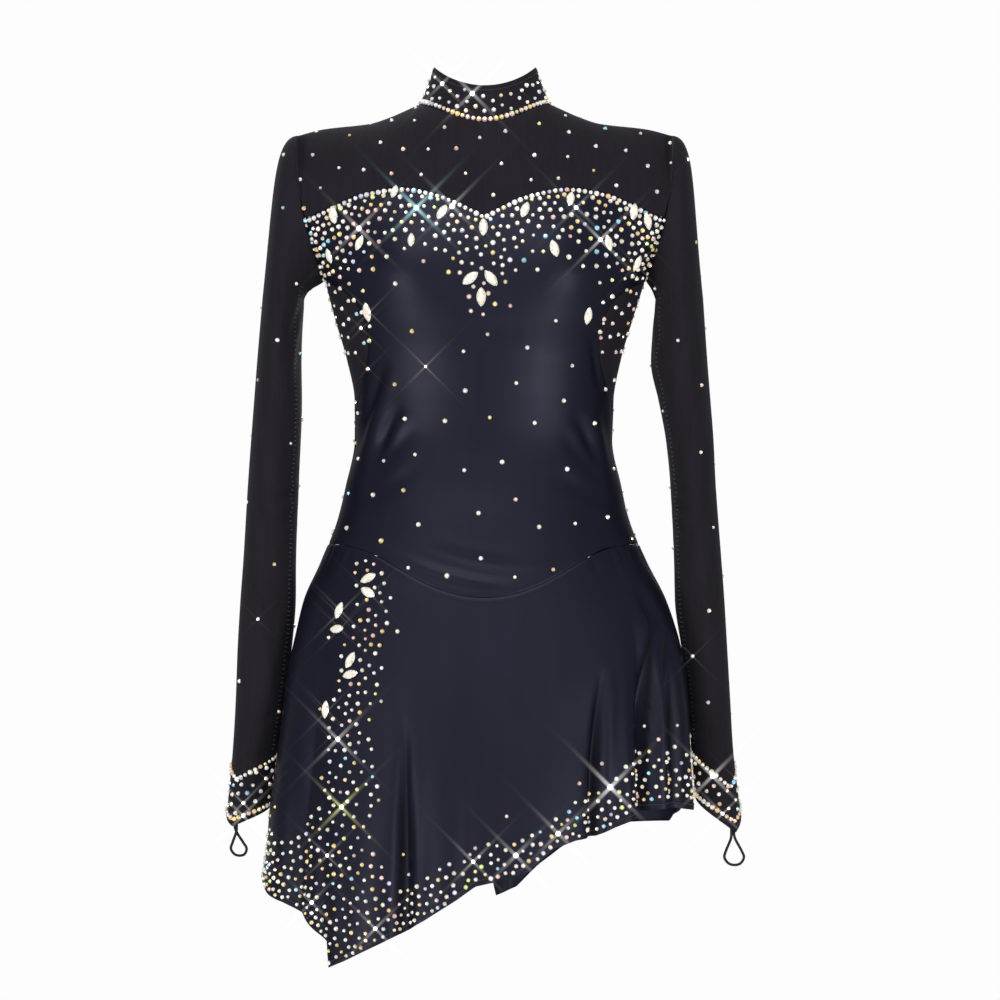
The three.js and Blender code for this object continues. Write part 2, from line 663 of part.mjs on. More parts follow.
// Large stones by place across and up the front, and by lean of their long axis from upright.
const largeStones = named(
  ["x", "z", "lean"],
  [
    [-140, -99, -20],
    [-83, -79, 12],
    [-39, -99, 30],
    [-1, -113, 0],
    [-67, -125, 0],
    [-115, -126, 30],
    [-144, -136, -12],
    [-108, -189, 0],
    [-13, -160, 52],
    [6, -160, -38],
    [-3, -177, 0],
    [37, -97, 20],
    [79, -86, 15],
    [64, -133, -14],
    [138, -96, 15],
    [151, -104, -15],
    [114, -126, -15],
    [141, -143, 30],
    [95, -193, 0],
    [-107, -435, 70],
    [-107, -448, -60],
    [-134, -465, 20],
    [-136, -482, 90],
    [-123, -510, 30],
    [-123, -523, 80],
    [-146, -556, 0],
  ],
);

function addStones() {
  const skirtSurface = (u, v) => skirtPoint(u, v);
  largeStones.forEach((stone, i) => {
    const onSkirt = stone.z < -420;
    const across = THREE.MathUtils.clamp(stone.x / 175, -0.95, 0.95);
    const guess = [Math.asin(across) / degree, onSkirt ? 0.1 : 0.9];
    const { here, normal } = spotOn(onSkirt ? skirtSurface : bodyPoint, stone.x, stone.z, guess);
    const long = new THREE.Vector3(Math.sin(stone.lean * degree), 0, Math.cos(stone.lean * degree));
    const side = long.clone().cross(normal).normalize();
    const along = normal.clone().cross(side).normalize();
    const turn = new THREE.Matrix4().makeBasis(side, along, normal);
    const geometry = marquiseGeometry().applyMatrix4(turn);
    const foot = here.clone().addScaledVector(normal, stoneLift);
    geometry.translate(foot.x, foot.y, foot.z);
    addPiece("stone_" + String(i + 1).padStart(2, "0"), geometry, materials.crystal);
  });
}

// Elastic loops: both ends are sewn side by side inside the point of the cuff. Each spreads across, and its
// foot may lean in towards the body.
const loops = {
  right: { bottom: -702, half: 7.7, lean: 4 },
  left: { bottom: -711, half: 9, lean: -2 },
};

function addLoops() {
  for (const [side, loop] of Object.entries(loops)) {
    const sleeve = sleeves[side];
    const tip = cuffHemZ(sleeve, cuffTipTurn);
    const low = loop.bottom + loopCord.diameter / 2;
    const high = tip - low;
    // Sideways is round the sleeve, and in is square to its wall.
    const ring = (turn) => sleeveRing(sleeve, turn, tip + 4);
    const sideways = ring(cuffTipTurn + 1).sub(ring(cuffTipTurn - 1)).normalize();
    const inwards = new THREE.Vector3(-sideways.y, sideways.x, 0).multiplyScalar(sleeve.sign);
    if (inwards.x * sleeve.sign > 0) inwards.negate();
    const root = ring(cuffTipTurn).addScaledVector(inwards, wall + gap + loopCord.diameter / 2 + 0.5);
    const at = (round, out, z) => {
      const lean = loop.lean * THREE.MathUtils.clamp((tip - z) / high, 0, 1);
      const place = root.clone().addScaledVector(sideways, round * sleeve.sign);
      return new THREE.Vector3(place.x + sleeve.sign * (out - lean), place.y, z);
    };
    const path = new THREE.CatmullRomCurve3([
      at(1.7, 0, tip + 7),
      at(1.7, 0, tip + 2),
      at(1.5, -0.8, tip - high * 0.16),
      at(1, -loop.half * 0.72, low + high * 0.46),
      at(0.4, -loop.half, low + high * 0.24),
      at(0, -loop.half * 0.62, low + high * 0.05),
      at(0, 0, low),
      at(0, loop.half * 0.62, low + high * 0.05),
      at(-0.4, loop.half, low + high * 0.24),
      at(-1, loop.half * 0.72, low + high * 0.46),
      at(-1.5, 0.8, tip - high * 0.16),
      at(-1.7, 0, tip + 2),
      at(-1.7, 0, tip + 7),
    ]);
    const half = loopCord.diameter / 2;
    const round = range(0, 360, loopCord.sides).slice(0, -1).map((turn) =>
      new THREE.Vector2(half * Math.cos(turn * degree), half * Math.sin(turn * degree)));
    const along = { steps: 34, extrudePath: path, bevelEnabled: false };
    const geometry = new THREE.ExtrudeGeometry(new THREE.Shape(round), along);
    addPiece("finger_loop_" + side, geometry, materials.elastic);
  }
}

// Three domed buttons close the slit at the centre back: two on the collar and one just under it.
function addButtons() {
  const profile = [
    [0, 0], [0.9, 0], [1, 0.25], [0.86, 0.62], [0.5, 0.92], [0, 1],
  ].map(([r, z]) => new THREE.Vector2(r * button.radius, z * button.high));
  const places = [
    [collarPoint, 180, 0.76],
    [collarPoint, 180, 0.26],
    [bodyPoint, 180, 0.26],
  ];
  places.forEach(([surface, angle, level], i) => {
    const tiny = 1e-4;
    const here = surface(angle, level);
    const [across, down] = [surface(angle + tiny, level).sub(here), surface(angle, level + tiny).sub(here)];
    const normal = across.cross(down).normalize();
    if (normal.y < 0) normal.negate();
    const dome = new THREE.LatheGeometry(profile, 10);
    dome.applyQuaternion(new THREE.Quaternion().setFromUnitVectors(new THREE.Vector3(0, 1, 0), normal));
    const foot = here.addScaledVector(normal, stoneLift);
    dome.translate(foot.x + button.radius * 0.5, foot.y, foot.z);
    addPiece("back_button_" + (i + 1), dome, materials.button);
  });
}

addYokeAndBodice();
addSkirt();
addSleeves();
addCollar();
addStones();
addLoops();
addButtons();

export default dress;
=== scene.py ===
# A figure skating dress, filled out as it is worn: matte mesh collar, yoke, back and sleeves, a stretch satin
# bodice and skirt, elastic finger loops and glued-on glass stones. Shapes are worked out in millimetres and
# written into the meshes in metres. +Z is up, the front faces -Y and +X is the wearer's left.
import bpy
import numpy as np
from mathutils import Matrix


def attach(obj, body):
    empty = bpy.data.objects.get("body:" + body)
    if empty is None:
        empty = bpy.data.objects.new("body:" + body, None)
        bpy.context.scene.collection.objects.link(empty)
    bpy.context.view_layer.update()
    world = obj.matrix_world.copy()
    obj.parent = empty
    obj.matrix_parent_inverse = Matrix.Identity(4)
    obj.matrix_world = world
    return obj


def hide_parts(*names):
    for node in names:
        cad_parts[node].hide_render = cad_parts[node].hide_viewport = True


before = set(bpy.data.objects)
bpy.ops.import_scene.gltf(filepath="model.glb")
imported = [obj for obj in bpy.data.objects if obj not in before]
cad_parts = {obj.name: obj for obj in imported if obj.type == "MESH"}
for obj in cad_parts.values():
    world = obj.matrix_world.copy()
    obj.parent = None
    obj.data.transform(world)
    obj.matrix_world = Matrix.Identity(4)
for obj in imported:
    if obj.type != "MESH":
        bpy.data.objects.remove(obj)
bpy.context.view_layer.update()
millimetre = 0.001

print("camera")
camera = {"across": 14.25, "height": -362.9, "away": 2800, "framed": 950, "sensor": 36}


def makeCamera(settings):
    data = bpy.data.cameras.new("viewCamera")
    data.sensor_width = settings["sensor"]
    data.lens = settings["sensor"] * settings["away"] / settings["framed"]
    viewer = bpy.data.objects.new("viewCamera", data)
    bpy.context.scene.collection.objects.link(viewer)
    place = np.array([settings["across"], -settings["away"], settings["height"]])
    viewer.location = place * millimetre
    viewer.rotation_euler = (np.pi / 2, 0, 0)
    bpy.context.scene.camera = viewer


makeCamera(camera)

# Curves through tables


# A smooth curve through (x, y) points that never overshoots them: cubic pieces whose slope at each point is
# the harmonic mean of the slopes on its two sides, or level at a peak.
def smoothCurve(points):
    xs, ys = np.array(points, float).T
    rise = np.diff(ys) / np.diff(xs)
    before, after = rise[:-1], rise[1:]
    both = before + after
    mean = np.where(before * after > 0, 2 * before * after / np.where(both == 0, 1, both), 0)
    slope = np.concatenate([rise[:1], mean, rise[-1:]])

    def at(x):
        i = np.clip(np.searchsorted(xs, x, side="right") - 1, 0, len(xs) - 2)
        step = xs[i + 1] - xs[i]
        t = np.clip((x - xs[i]) / step, 0, 1)
        start = (2 * t**3 - 3 * t**2 + 1) * ys[i] + (t**3 - 2 * t**2 + t) * step * slope[i]
        end = (3 * t**2 - 2 * t**3) * ys[i + 1] + (t**3 - t**2) * step * slope[i + 1]
        return start + end

    return at


# Straight lines through the points, for an outline with corners.
def straightCurve(points):
    xs, ys = np.array(points, float).T
    return lambda x: np.interp(x, xs, ys)


# One smooth curve for each named column, against the table's first column.
def columnsOf(names, rows):
    table = np.array(sorted(rows), float)
    return {name: smoothCurve(table[:, [0, k + 1]]) for k, name in enumerate(names[1:])}


def lerp(a, b, t):
    return a + (b - a) * t


def sine(angle):
    return np.sin(np.radians(angle))


def cosine(angle):
    return np.cos(np.radians(angle))


# Eases from 0 at one value to 1 at another.
def fade(start, end, at):
    t = np.clip((at - start) / (end - start), 0, 1)
    return t * t * (3 - 2 * t)


def bell(x):
    return np.exp(-x * x)


# Points from their three parts, spread to one shape.
def stacked(x, y, z):
    return np.stack(np.broadcast_arrays(x, y, z), axis=-1)


def unit(vectors):
    return vectors / np.maximum(np.linalg.norm(vectors, axis=-1, keepdims=True), 1e-12)


# Sizes of the dress
cloth = {"thick": 0.8, "gap": 0.3, "roundness": 2.3}
edgeRoll = {"drop": 0.45, "wide": 1.3}
hemFold = {"raised": 0.35, "full": 5.2, "none": 6.4, "dent": 0.2, "line": 5.8, "lineWide": 0.8}
seamLip = {"high": 0.25, "at": 2.3, "wide": 1.1}
neck = {"halfWidth": 63, "front": 58, "back": 50, "frontCrown": 18, "backCrown": 30}
collarTop = {
    "halfWidth": 48.5, "front": 51.5, "back": 40, "sideZ": 48, "frontZ": 24, "backZ": 32, "rimPower": 1.6,
    "drawnPower": 0.8,
}
shoulderTip = {"x": 178, "z": -17}
underarmZ = -154
armhole = {"front": 50, "back": 47, "fading": 110}
cup = {"x": 72, "z": -150, "wide": 38, "tall": 42, "depth": 9}
dropSeam = {"sideZ": -404, "frontDip": 48, "frontPower": 5.5, "backDip": 30, "backPower": 2.5}
backWaist = {"side": -292, "dip": 14}
hemReach = {"left": 214, "right": 198}

body = columnsOf(
    ["z", "left", "right", "front", "back"],
    [
        [-130, 159, 159, 104, 92],
        [-154, 152, 152, 104, 92],
        [-192, 142, 140, 101.5, 89],
        [-230, 131, 129, 94, 82],
        [-268, 124, 122, 87, 75],
        [-306, 124, 121, 84, 75],
        [-344, 131, 128, 87, 84],
        [-382, 140, 137, 93, 97],
        [-420, 155, 153, 99, 108],
        [-458, 172, 172, 106, 116],
        [-496, 180.5, 184, 112, 123],
        [-534, 186.5, 190, 118, 130],
        [-572, 191, 192.5, 123, 136],
        [-610, 196, 194, 128, 142],
        [-648, 201.5, 196.5, 132, 147],
        [-690, 206.5, 198, 136, 151],
        [-723, 211, 199, 139, 154],
        [-800, 215, 200, 145, 160],
    ],
)
shoulderLine = smoothCurve([[63, 12], [76, 6], [90, 0], [109, -6], [153, -11], [178, -17]])
armholeX = smoothCurve([[0, 178], [0.3, 175], [0.6, 168], [0.85, 158], [1, 152]])
sweetheart = smoothCurve([[0, -101], [15, -93], [42, -81], [77, -74], [110, -78], [140, -89], [163, -99]])
sideSeam = smoothCurve([
    [-292, 90], [-284, 84], [-273, 77], [-255, 67], [-238, 59], [-215, 53.5], [-195, 52.5], [-180, 55],
    [-166, 65], [-154, 90],
])
hemFront = straightCurve([
    [-211, -723], [-187, -734], [-167, -749], [-144, -766], [-142.5, -789], [-127, -782], [-93, -764],
    [-55, -743], [-25, -724], [-8, -712], [10, -708], [35, -701], [48, -691], [62, -679], [83, -672],
    [106, -669], [128, -657], [149, -649], [172, -646], [198, -655],
])
hemBack = straightCurve([
    [-211, -723], [-190, -734], [-150, -742], [-100, -742], [-60, -738], [5, -737], [10, -760], [31, -750],
    [54, -727], [90, -698], [120, -690], [136, -686], [148, -680], [174, -677], [177, -670], [198, -655],
])

# Skirt folds: angle round the body, width in degrees, depth at the hem, and the heights between which they
# grow.
skirtFolds = np.array([
    [-66, 9, 6, -440, -640],
    [-55, 5, -7, -480, -680],
    [-30, 8, 4, -560, -720],
    [-19, 3.6, -9, -555, -730],
    [-10, 7, 4, -560, -720],
    [12, 10, 4, -560, -700],
    [33, 3.4, -8, -530, -650],
    [41, 4.5, 7, -500, -640],
    [50, 3.8, -9, -430, -620],
    [56, 3.4, 8, -430, -610],
    [63, 3.2, -8, -470, -620],
    [72, 6, 5, -450, -620],
    [100, 8, -8, -450, -640],
    [116, 9, 9, -450, -640],
    [134, 7, -9, -480, -670],
    [150, 8, 8, -480, -670],
    [166, 7, -8, -500, -690],
    [182, 8, 9, -500, -700],
    [198, 7, -9, -500, -700],
    [215, 9, 9, -480, -690],
    [234, 7, -9, -460, -680],
    [250, 8, 7, -450, -660],
])

# Creases of the satin front: their two ends with the point each line bends towards between them (across, up),
# then width and depth, a trough below zero. They drag from the side seams down into the waist.
bodiceCreases = [
    [-90, -232, -108, -268, -123, -330, 5, -3.6],
    [-76, -272, -96, -300, -106, -338, 5.5, -4],
    [-64, -292, -88, -318, -112, -356, 7, -1.8],
    [-118, -250, -116, -290, -132, -350, 5, -1.8],
    [-50, -330, -92, -352, -136, -372, 8, -1.4],
    [98, -208, 106, -236, 108, -268, 4.5, -2.6],
    [82, -282, 98, -302, 109, -338, 5.5, -3.8],
    [70, -296, 90, -326, 118, -358, 7, -1.7],
    [112, -262, 112, -300, 126, -352, 5, -1.7],
    [56, -336, 96, -356, 138, -378, 8, -1.3],
    [-78, -414, -30, -439, 42, -442, 3.6, 1.5],
    [-60, -402, -10, -425, 60, -424, 4.5, -1],
    [136, -394, 108, -412, 84, -430, 3.4, -1.8],
    [-136, -392, -104, -410, -78, -424, 3.6, -1.4],
    [-34, -214, 0, -222, 38, -212, 9, -0.8],
]
# The same for the back, where the cloth settles into the small of the waist.
backCreases = [
    [-112, -178, -84, -214, -40, -246, 6, -2.4],
    [-118, -206, -92, -240, -52, -268, 6, -2.2],
    [-108, -252, -60, -268, 6, -262, 5, -2.6],
    [-96, -282, -40, -292, 30, -281, 5.5, -2.8],
    [-104, -312, -58, -326, -6, -320, 7, -1.8],
    [110, -172, 86, -204, 38, -240, 6, -2.2],
    [120, -212, 90, -244, 44, -276, 6, -2.3],
    [104, -262, 64, -276, 18, -272, 5, -2.2],
    [98, -300, 52, -308, -14, -303, 6, -2.2],
    [102, -338, 62, -352, 8, -346, 8, -1.4],
    [-60, -60, -72, -100, -92, -136, 8, -1.4],
    [62, -66, 78, -108, 96, -140, 8, -1.3],
]
# Down the skirt's front and back, from where each fold opens to past the hem, so that it is deepest there.
skirtCreases = [
    [109, -516, 98, -596, 101, -800, 4.4, -8],
    [160, -466, 143, -530, 147, -790, 4.8, -9.5],
    [170, -480, 171, -560, 173, -790, 3.6, -7],
    [137, -440, 149, -462, 164, -488, 5, -2.4],
    [124, -500, 121, -600, 124, -780, 6, -1.6],
    [-73, -556, -74, -660, -77, -900, 5, -7],
    [-148, -610, -145, -690, -151, -880, 6, -2.2],
    [-177, -560, -172, -640, -181, -860, 7, -2.6],
    [-18, -600, -14, -680, -16, -820, 8, -1.5],
]
skirtBackCreases = [
    [-150, -480, -141, -560, -152, -860, 5, -4],
    [-96, -520, -101, -620, -92, -850, 5.5, -4.4],
    [-40, -560, -33, -650, -42, -860, 4.6, -3.6],
    [16, -530, 9, -640, 19, -880, 5.2, -4.2],
    [74, -500, 83, -600, 72, -830, 4.8, -4.4],
    [136, -470, 126, -560, 139, -800, 5.2, -4],
    [-122, -440, -132, -466, -148, -492, 5, -2],
    [120, -438, 131, -462, 146, -484, 5, -2.1],
]
# On a sleeve: round from its outer side in millimetres, and up.
sleeveCreases = [
    [76, -165, 62, -192, 44, -240, 6, -2.2],
    [79, -178, 70, -216, 60, -264, 6, -1.8],
    [40, -62, 47, -96, 60, -132, 7, -1.3],
    [75, -335, 60, -344, 38, -340, 4.5, -1.8],
    [76, -352, 58, -363, 32, -360, 4.2, -2.2],
    [74, -373, 60, -381, 42, -386, 4.8, -1.5],
    [8, -330, 17, -346, 30, -352, 6, -1.1],
    [62, -430, 50, -470, 40, -522, 7, -1.1],
    [30, -480, 36, -530, 48, -590, 6, -1.2],
    [70, -556, 56, -568, 34, -574, 4.6, -1.4],
    [68, -598, 52, -608, 26, -604, 4.2, -1.5],
    [96, -200, 106, -242, 112, -300, 7, -1.5],
    [84, -350, 105, -361, 126, -352, 4.6, -1.9],
    [90, -380, 108, -392, 130, -387, 5, -1.5],
    [100, -470, 112, -520, 118, -566, 7, -1.2],
    [92, -590, 110, -602, 132, -598, 4.6, -1.4],
]

sleeveColumns = ["z", "outer", "inner", "depth", "y"]
sleeves = {
    "right": {
        "sign": -1,
        "creasesDown": 0,
        "table": columnsOf(sleeveColumns, [
            [-172, 211, 172, 51, 0],
            [-230, 216, 175, 49, 0],
            [-268, 219, 174, 47, 0],
            [-344, 225, 177, 43, 3],
            [-420, 230, 180, 39, 7],
            [-458, 233, 180.5, 37, 9],
            [-505, 236, 184.5, 35, 12],
            [-553, 238, 191, 33, 15],
            [-600, 241, 197.5, 31, 18],
            [-680, 249, 208, 29, 22],
        ]),
        "hem": {"tip": -673, "inner": -655.5},
    },
    "left": {
        "sign": 1,
        "creasesDown": 13,
        "table": columnsOf(sleeveColumns, [
            [-172, 207, 162, 51, 0],
            [-230, 211, 158, 49, 0],
            [-268, 214, 165, 47, 0],
            [-306, 217, 172, 45, 1],
            [-344, 219, 176, 43, 3],
            [-420, 225, 180, 39, 7],
            [-458, 228, 181, 37, 9],
            [-505, 231, 187.5, 35, 12],
            [-553, 234, 193.5, 33, 15],
            [-600, 237, 197, 31, 18],
            [-680, 247, 204, 29, 22],
        ]),
        "hem": {"tip": -679, "inner": -648},
    },
}
sleeveHeights = {"cap": -172, "cuff": -600}
puckers = {"flat": 0.04, "rise": 0.2, "from": 18, "to": 60, "start": 5, "fade": 8, "end": 34}
sideFill = {"out": 2.0, "from": 0.58, "to": 0.86, "top": (-478, -530), "bottom": (-705, -640)}
cuffTipTurn = 54  # the cuff's point lies between its outer side and its front
creaseShape = {"steps": 12, "swell": 1.3, "bank": 0.35, "bankAt": 2.1, "bankWide": 1.3}


# Creases along bent lines: each line is a quadratic curve, its depth swells from nothing at one end to
# nothing at the other as a sine, and across it a bell-shaped trough stands beside a lower, wider bank.
def creaseRelief(creases, x, z):
    x, z = np.broadcast_arrays(x, z)
    shape = creaseShape
    total, steps = np.zeros(x.shape), shape["steps"]
    for x0, z0, x1, z1, x2, z2, wide, depth in creases:
        t = np.linspace(0, 1, steps + 1)[:, None]
        line = (1 - t) ** 2 * [x0, z0] + 2 * (1 - t) * t * [x1, z1] + t**2 * [x2, z2]
        nearest, share, side = np.full(x.shape, 1e9), np.zeros(x.shape), np.ones(x.shape)
        for k, (start, way) in enumerate(zip(line[:-1], np.diff(line, axis=0))):
            along = np.clip(((x - start[0]) * way[0] + (z - start[1]) * way[1]) / (way @ way), 0, 1)
            offX, offZ = x - start[0] - along * way[0], z - start[1] - along * way[1]
            away = np.hypot(offX, offZ)
            closer = away < nearest
            nearest = np.where(closer, away, nearest)
            share = np.where(closer, (k + along) / steps, share)
            side = np.where(closer, np.sign(way[0] * offZ - way[1] * offX), side)
        across = nearest * side / wide
        bank = shape["bank"] * bell((across - shape["bankAt"]) / shape["bankWide"])
        total += depth * np.sin(np.pi * share) ** shape["swell"] * (bell(across) - bank)
    return total


# How far the front stands proud of the plain section: two bust cups and the creases.
def bodiceRelief(x, z):
    bust = cup["depth"] * bell((np.abs(x) - cup["x"]) / cup["wide"]) * bell((z - cup["z"]) / cup["tall"])
    return bust + creaseRelief(bodiceCreases, x, z)


# The body's section at a height, a superellipse; angle 0 is the centre front and 90 the wearer's left.
def sectionPoint(angle, z):
    across, ahead = sine(angle), cosine(angle)
    reach = np.where(across < 0, body["left"](z), body["right"](z))
    depth = np.where(ahead >= 0, body["front"](z), body["back"](z))
    power = cloth["roundness"]
    fullness = np.maximum(0, 1 - np.abs(across) ** power) ** (1 / power)
    y = np.where(ahead >= 0, -1, 1) * (depth * fullness + cloth["gap"] / 2)
    return stacked(across * reach, y, z)


# Moves points straight out from the body's centre line, by angle.
def movedOut(points, angle, distance):
    way = stacked(sine(angle), -cosine(angle), 0 * angle)
    return points + way * np.asarray(distance)[..., None]


def isFront(angle):
    return cosine(angle) >= -1e-9


# 0 at the centre front and back, 1 at the sides.
def fromCentre(angle):
    turned = np.abs((angle + 540) % 360 - 180)
    return np.minimum(turned, 180 - turned) / 90


# The shoulder line's height, carried on inside the neck by a cubic to a crown at its front and its back.
def shoulderZ(x, front):
    t = np.minimum(x / neck["halfWidth"], 1)
    crown = np.where(front, neck["frontCrown"], neck["backCrown"])
    side = shoulderLine(neck["halfWidth"])
    slope = (shoulderLine(neck["halfWidth"] + 0.01) - side) * 100
    inside = lerp(crown, side, t * t * (3 - 2 * t)) + (t**3 - t * t) * neck["halfWidth"] * slope
    return np.where(x >= neck["halfWidth"], shoulderLine(x), inside)


# How far the body fills out beside an armhole: a half-ellipse at the armhole's own edge, softer and longer
# towards the centre.
def armholeFullness(side, front, topZ, z):
    bottom = underarmZ - armhole["fading"] * np.maximum(0, 1 - side) ** 0.8
    t = np.clip((topZ - z) / (topZ - bottom), 0, 1)
    soft, rounded = np.sin(np.pi * t) ** 1.5, np.sqrt(np.maximum(0, 1 - (2 * t - 1) ** 2))
    deep = np.where(front, armhole["front"], armhole["back"])
    return deep * side**4 * lerp(soft, rounded, side**16)


# The shell from the shoulder line (level 0) to the underarm (level 1): a quarter-round down to the section.
def yokePoint(angle, level):
    side, front, across = fromCentre(angle), isFront(angle), sine(angle)
    topZ = shoulderZ(np.abs(across) * shoulderTip["x"], front)
    z = lerp(topZ, underarmZ, level)
    low = np.abs(sectionPoint(angle, underarmZ)[..., 1]) - cloth["gap"] / 2
    arch = low * np.sqrt(np.maximum(0, 1 - (1 - level) ** 2))
    depth = arch + armholeFullness(side, front, topZ, z) + cloth["gap"] / 2
    return stacked(across * armholeX(level), np.where(front, -depth, depth), z)


# The level at which the neck's oval leaves the shell; 0 from the side of the neck out along the shoulder.
def neckLevel(angle):
    x = np.abs(sine(angle)) * shoulderTip["x"]
    oval = np.sqrt(np.maximum(0, 1 - (x / neck["halfWidth"]) ** 2))
    depth = np.where(isFront(angle), neck["front"], neck["back"]) * oval
    low = np.abs(sectionPoint(angle, underarmZ)[..., 1]) - cloth["gap"] / 2
    share = depth / np.maximum(low, 1e-6)
    return np.where(x >= neck["halfWidth"] - 1e-6, 0, 1 - np.sqrt(np.maximum(0, 1 - share**2)))


def dropSeamZ(angle):
    ahead = cosine(angle)
    front = dropSeam["frontDip"] * np.maximum(0, ahead) ** dropSeam["frontPower"]
    back = dropSeam["backDip"] * np.maximum(0, -ahead) ** dropSeam["backPower"]
    return dropSeam["sideZ"] - np.where(ahead >= 0, front, back)


# The whole body shell: levels 0 to 1 are the yoke, 1 to 2 run from the underarm to the drop-waist seam.
def bodyPoint(angle, level):
    angle, level = np.broadcast_arrays(np.asarray(angle, float), np.asarray(level, float))
    side, front = fromCentre(angle), isFront(angle)
    high = yokePoint(angle, np.minimum(level, 1))
    low = sectionPoint(angle, lerp(underarmZ, dropSeamZ(angle), np.maximum(level - 1, 0)))
    topZ = shoulderZ(np.abs(sine(angle)) * shoulderTip["x"], front)
    low[..., 1] += np.where(front, -1, 1) * armholeFullness(side, front, topZ, low[..., 2])
    points = np.where((level <= 1)[..., None], high, low)
    x, z = points[..., 0], points[..., 2]
    relief = np.where(front, bodiceRelief(x, z), creaseRelief(backCreases, x, z))
    return movedOut(points, angle, relief)


def sideAngle(level):
    return np.where(level <= 1, 90, sideSeam(lerp(underarmZ, dropSeam["sideZ"], level - 1)))


def sweetheartLevel(angle):
    across = np.abs(sine(angle))
    topZ = shoulderZ(across * shoulderTip["x"], True)
    level = np.full(np.shape(angle), 0.5)
    for _ in range(6):
        level = (topZ - sweetheart(across * armholeX(level))) / (topZ - underarmZ)
    return level


def backWaistLevel(angle):
    dip = backWaist["dip"] * np.maximum(0, -cosine(angle))
    return 1 + (underarmZ - backWaist["side"] + dip) / (underarmZ - dropSeamZ(angle))


def hemZ(angle):
    across = sine(angle) * np.where(sine(angle) < 0, hemReach["left"], hemReach["right"])
    return np.where(isFront(angle), hemFront(across), hemBack(across))


# The skirt from the drop-waist seam (0) to the hem (1). Its folds deepen downwards: ridges are bells, troughs
# have a sharper bottom, and the seam gathers the cloth into small puckers that fade out below it. At its two
# sides it fills out a little towards the sleeves.
def skirtPoint(angle, share):
    z = lerp(dropSeamZ(angle) - cloth["gap"], hemZ(angle), share)
    out = np.zeros(np.broadcast(angle, z).shape)
    for at, wide, depth, top, full in skirtFolds:
        turned = np.abs((angle - at + 540) % 360 - 180) / wide
        out += depth * np.exp(-turned ** (1.35 if depth < 0 else 2.0)) * fade(-top, -full, -z)
    below = dropSeamZ(angle) - z
    pucker = sine(angle * 41) + 0.7 * sine(angle * 67 + 40)
    high = puckers["flat"] + puckers["rise"] * fade(puckers["from"], puckers["to"], np.abs(angle))
    start, end = fade(0, puckers["start"], below), fade(puckers["fade"], puckers["end"], below)
    out += high * pucker * start * (1 - end)
    beside = fade(sideFill["from"], sideFill["to"], fromCentre(angle))
    out += sideFill["out"] * beside * fade(*sideFill["top"], z) * fade(*sideFill["bottom"], z)
    points = sectionPoint(angle, z)
    x, front = points[..., 0], isFront(angle)
    out += np.where(front, creaseRelief(skirtCreases, x, z), creaseRelief(skirtBackCreases, x, z))
    return movedOut(points, angle + 0 * z, out)


# A ring of the sleeve, an ellipse; turn 0 is its outer side, 90 the front, 180 the inner side.
def sleeveRing(sleeve, turn, z):
    column = {name: curve(z) for name, curve in sleeve["table"].items()}
    centre, half = (column["outer"] + column["inner"]) / 2, (column["outer"] - column["inner"]) / 2
    x = sleeve["sign"] * (centre + half * cosine(turn))
    return stacked(x, column["y"] - column["depth"] * sine(turn), z)


def armholePoint(sleeve, turn):
    level = (1 - cosine(turn)) / 2
    depth = np.where(sine(turn) > 0, armhole["front"], armhole["back"])
    x, z = sleeve["sign"] * (armholeX(level) + cloth["gap"]), lerp(shoulderTip["z"], underarmZ, level)
    return stacked(x, -sine(turn) * depth, z)


# How far round from the cuff's point a turn lies: the sine of half the way, 0 at the point and 1 opposite it.
def fromCuffTip(turn):
    return np.abs(sine((turn - cuffTipTurn) / 2))


# The cuff's hem: lowest at its point, rising from there both ways round.
def cuffHemZ(sleeve, turn):
    hem = sleeve["hem"]
    return lerp(hem["tip"], hem["inner"], fromCuffTip(turn) / fromCuffTip(180))


# The arc's two handles, at the inner side and what the outer side adds.
sleeveArc = {"leaveX": (3.5, 18.5), "leaveZ": (-6, 3), "arriveX": (-4, -7), "arriveZ": (12, 93)}


# The sleeve: levels 0 to 1 are a cubic arc from the armhole to a plain tube, 1 to 2 reach the cuff, 2 to 3
# its hem.
def sleevePoint(sleeve, turn, level):
    turn, level = np.broadcast_arrays(np.asarray(turn, float), np.asarray(level, float))
    sign, outer = sleeve["sign"], (1 + cosine(turn)) / 2
    capZ, cuffZ = sleeveHeights["cap"], sleeveHeights["cuff"]
    start, end = armholePoint(sleeve, turn), sleeveRing(sleeve, turn, np.full(turn.shape, float(capZ)))
    leaveX, leaveZ, arriveX, arriveZ = [first + more * outer for first, more in sleeveArc.values()]
    leave = stacked(sign * leaveX, -2 * sine(turn), leaveZ)
    arrive = stacked(sign * arriveX, 0 * outer, arriveZ)
    t = np.clip(level, 0, 1)[..., None]
    arc = (1 - t) ** 3 * start + 3 * (1 - t) ** 2 * t * (start + leave)
    arc = arc + 3 * (1 - t) * t**2 * (end + arrive) + t**3 * end
    tube = sleeveRing(sleeve, turn, lerp(capZ, cuffZ, level - 1))
    cuff = sleeveRing(sleeve, turn, lerp(cuffZ, cuffHemZ(sleeve, turn), level - 2))
    level = level[..., None]
    return np.where(level > 2, cuff, np.where(level > 1, tube, arc))


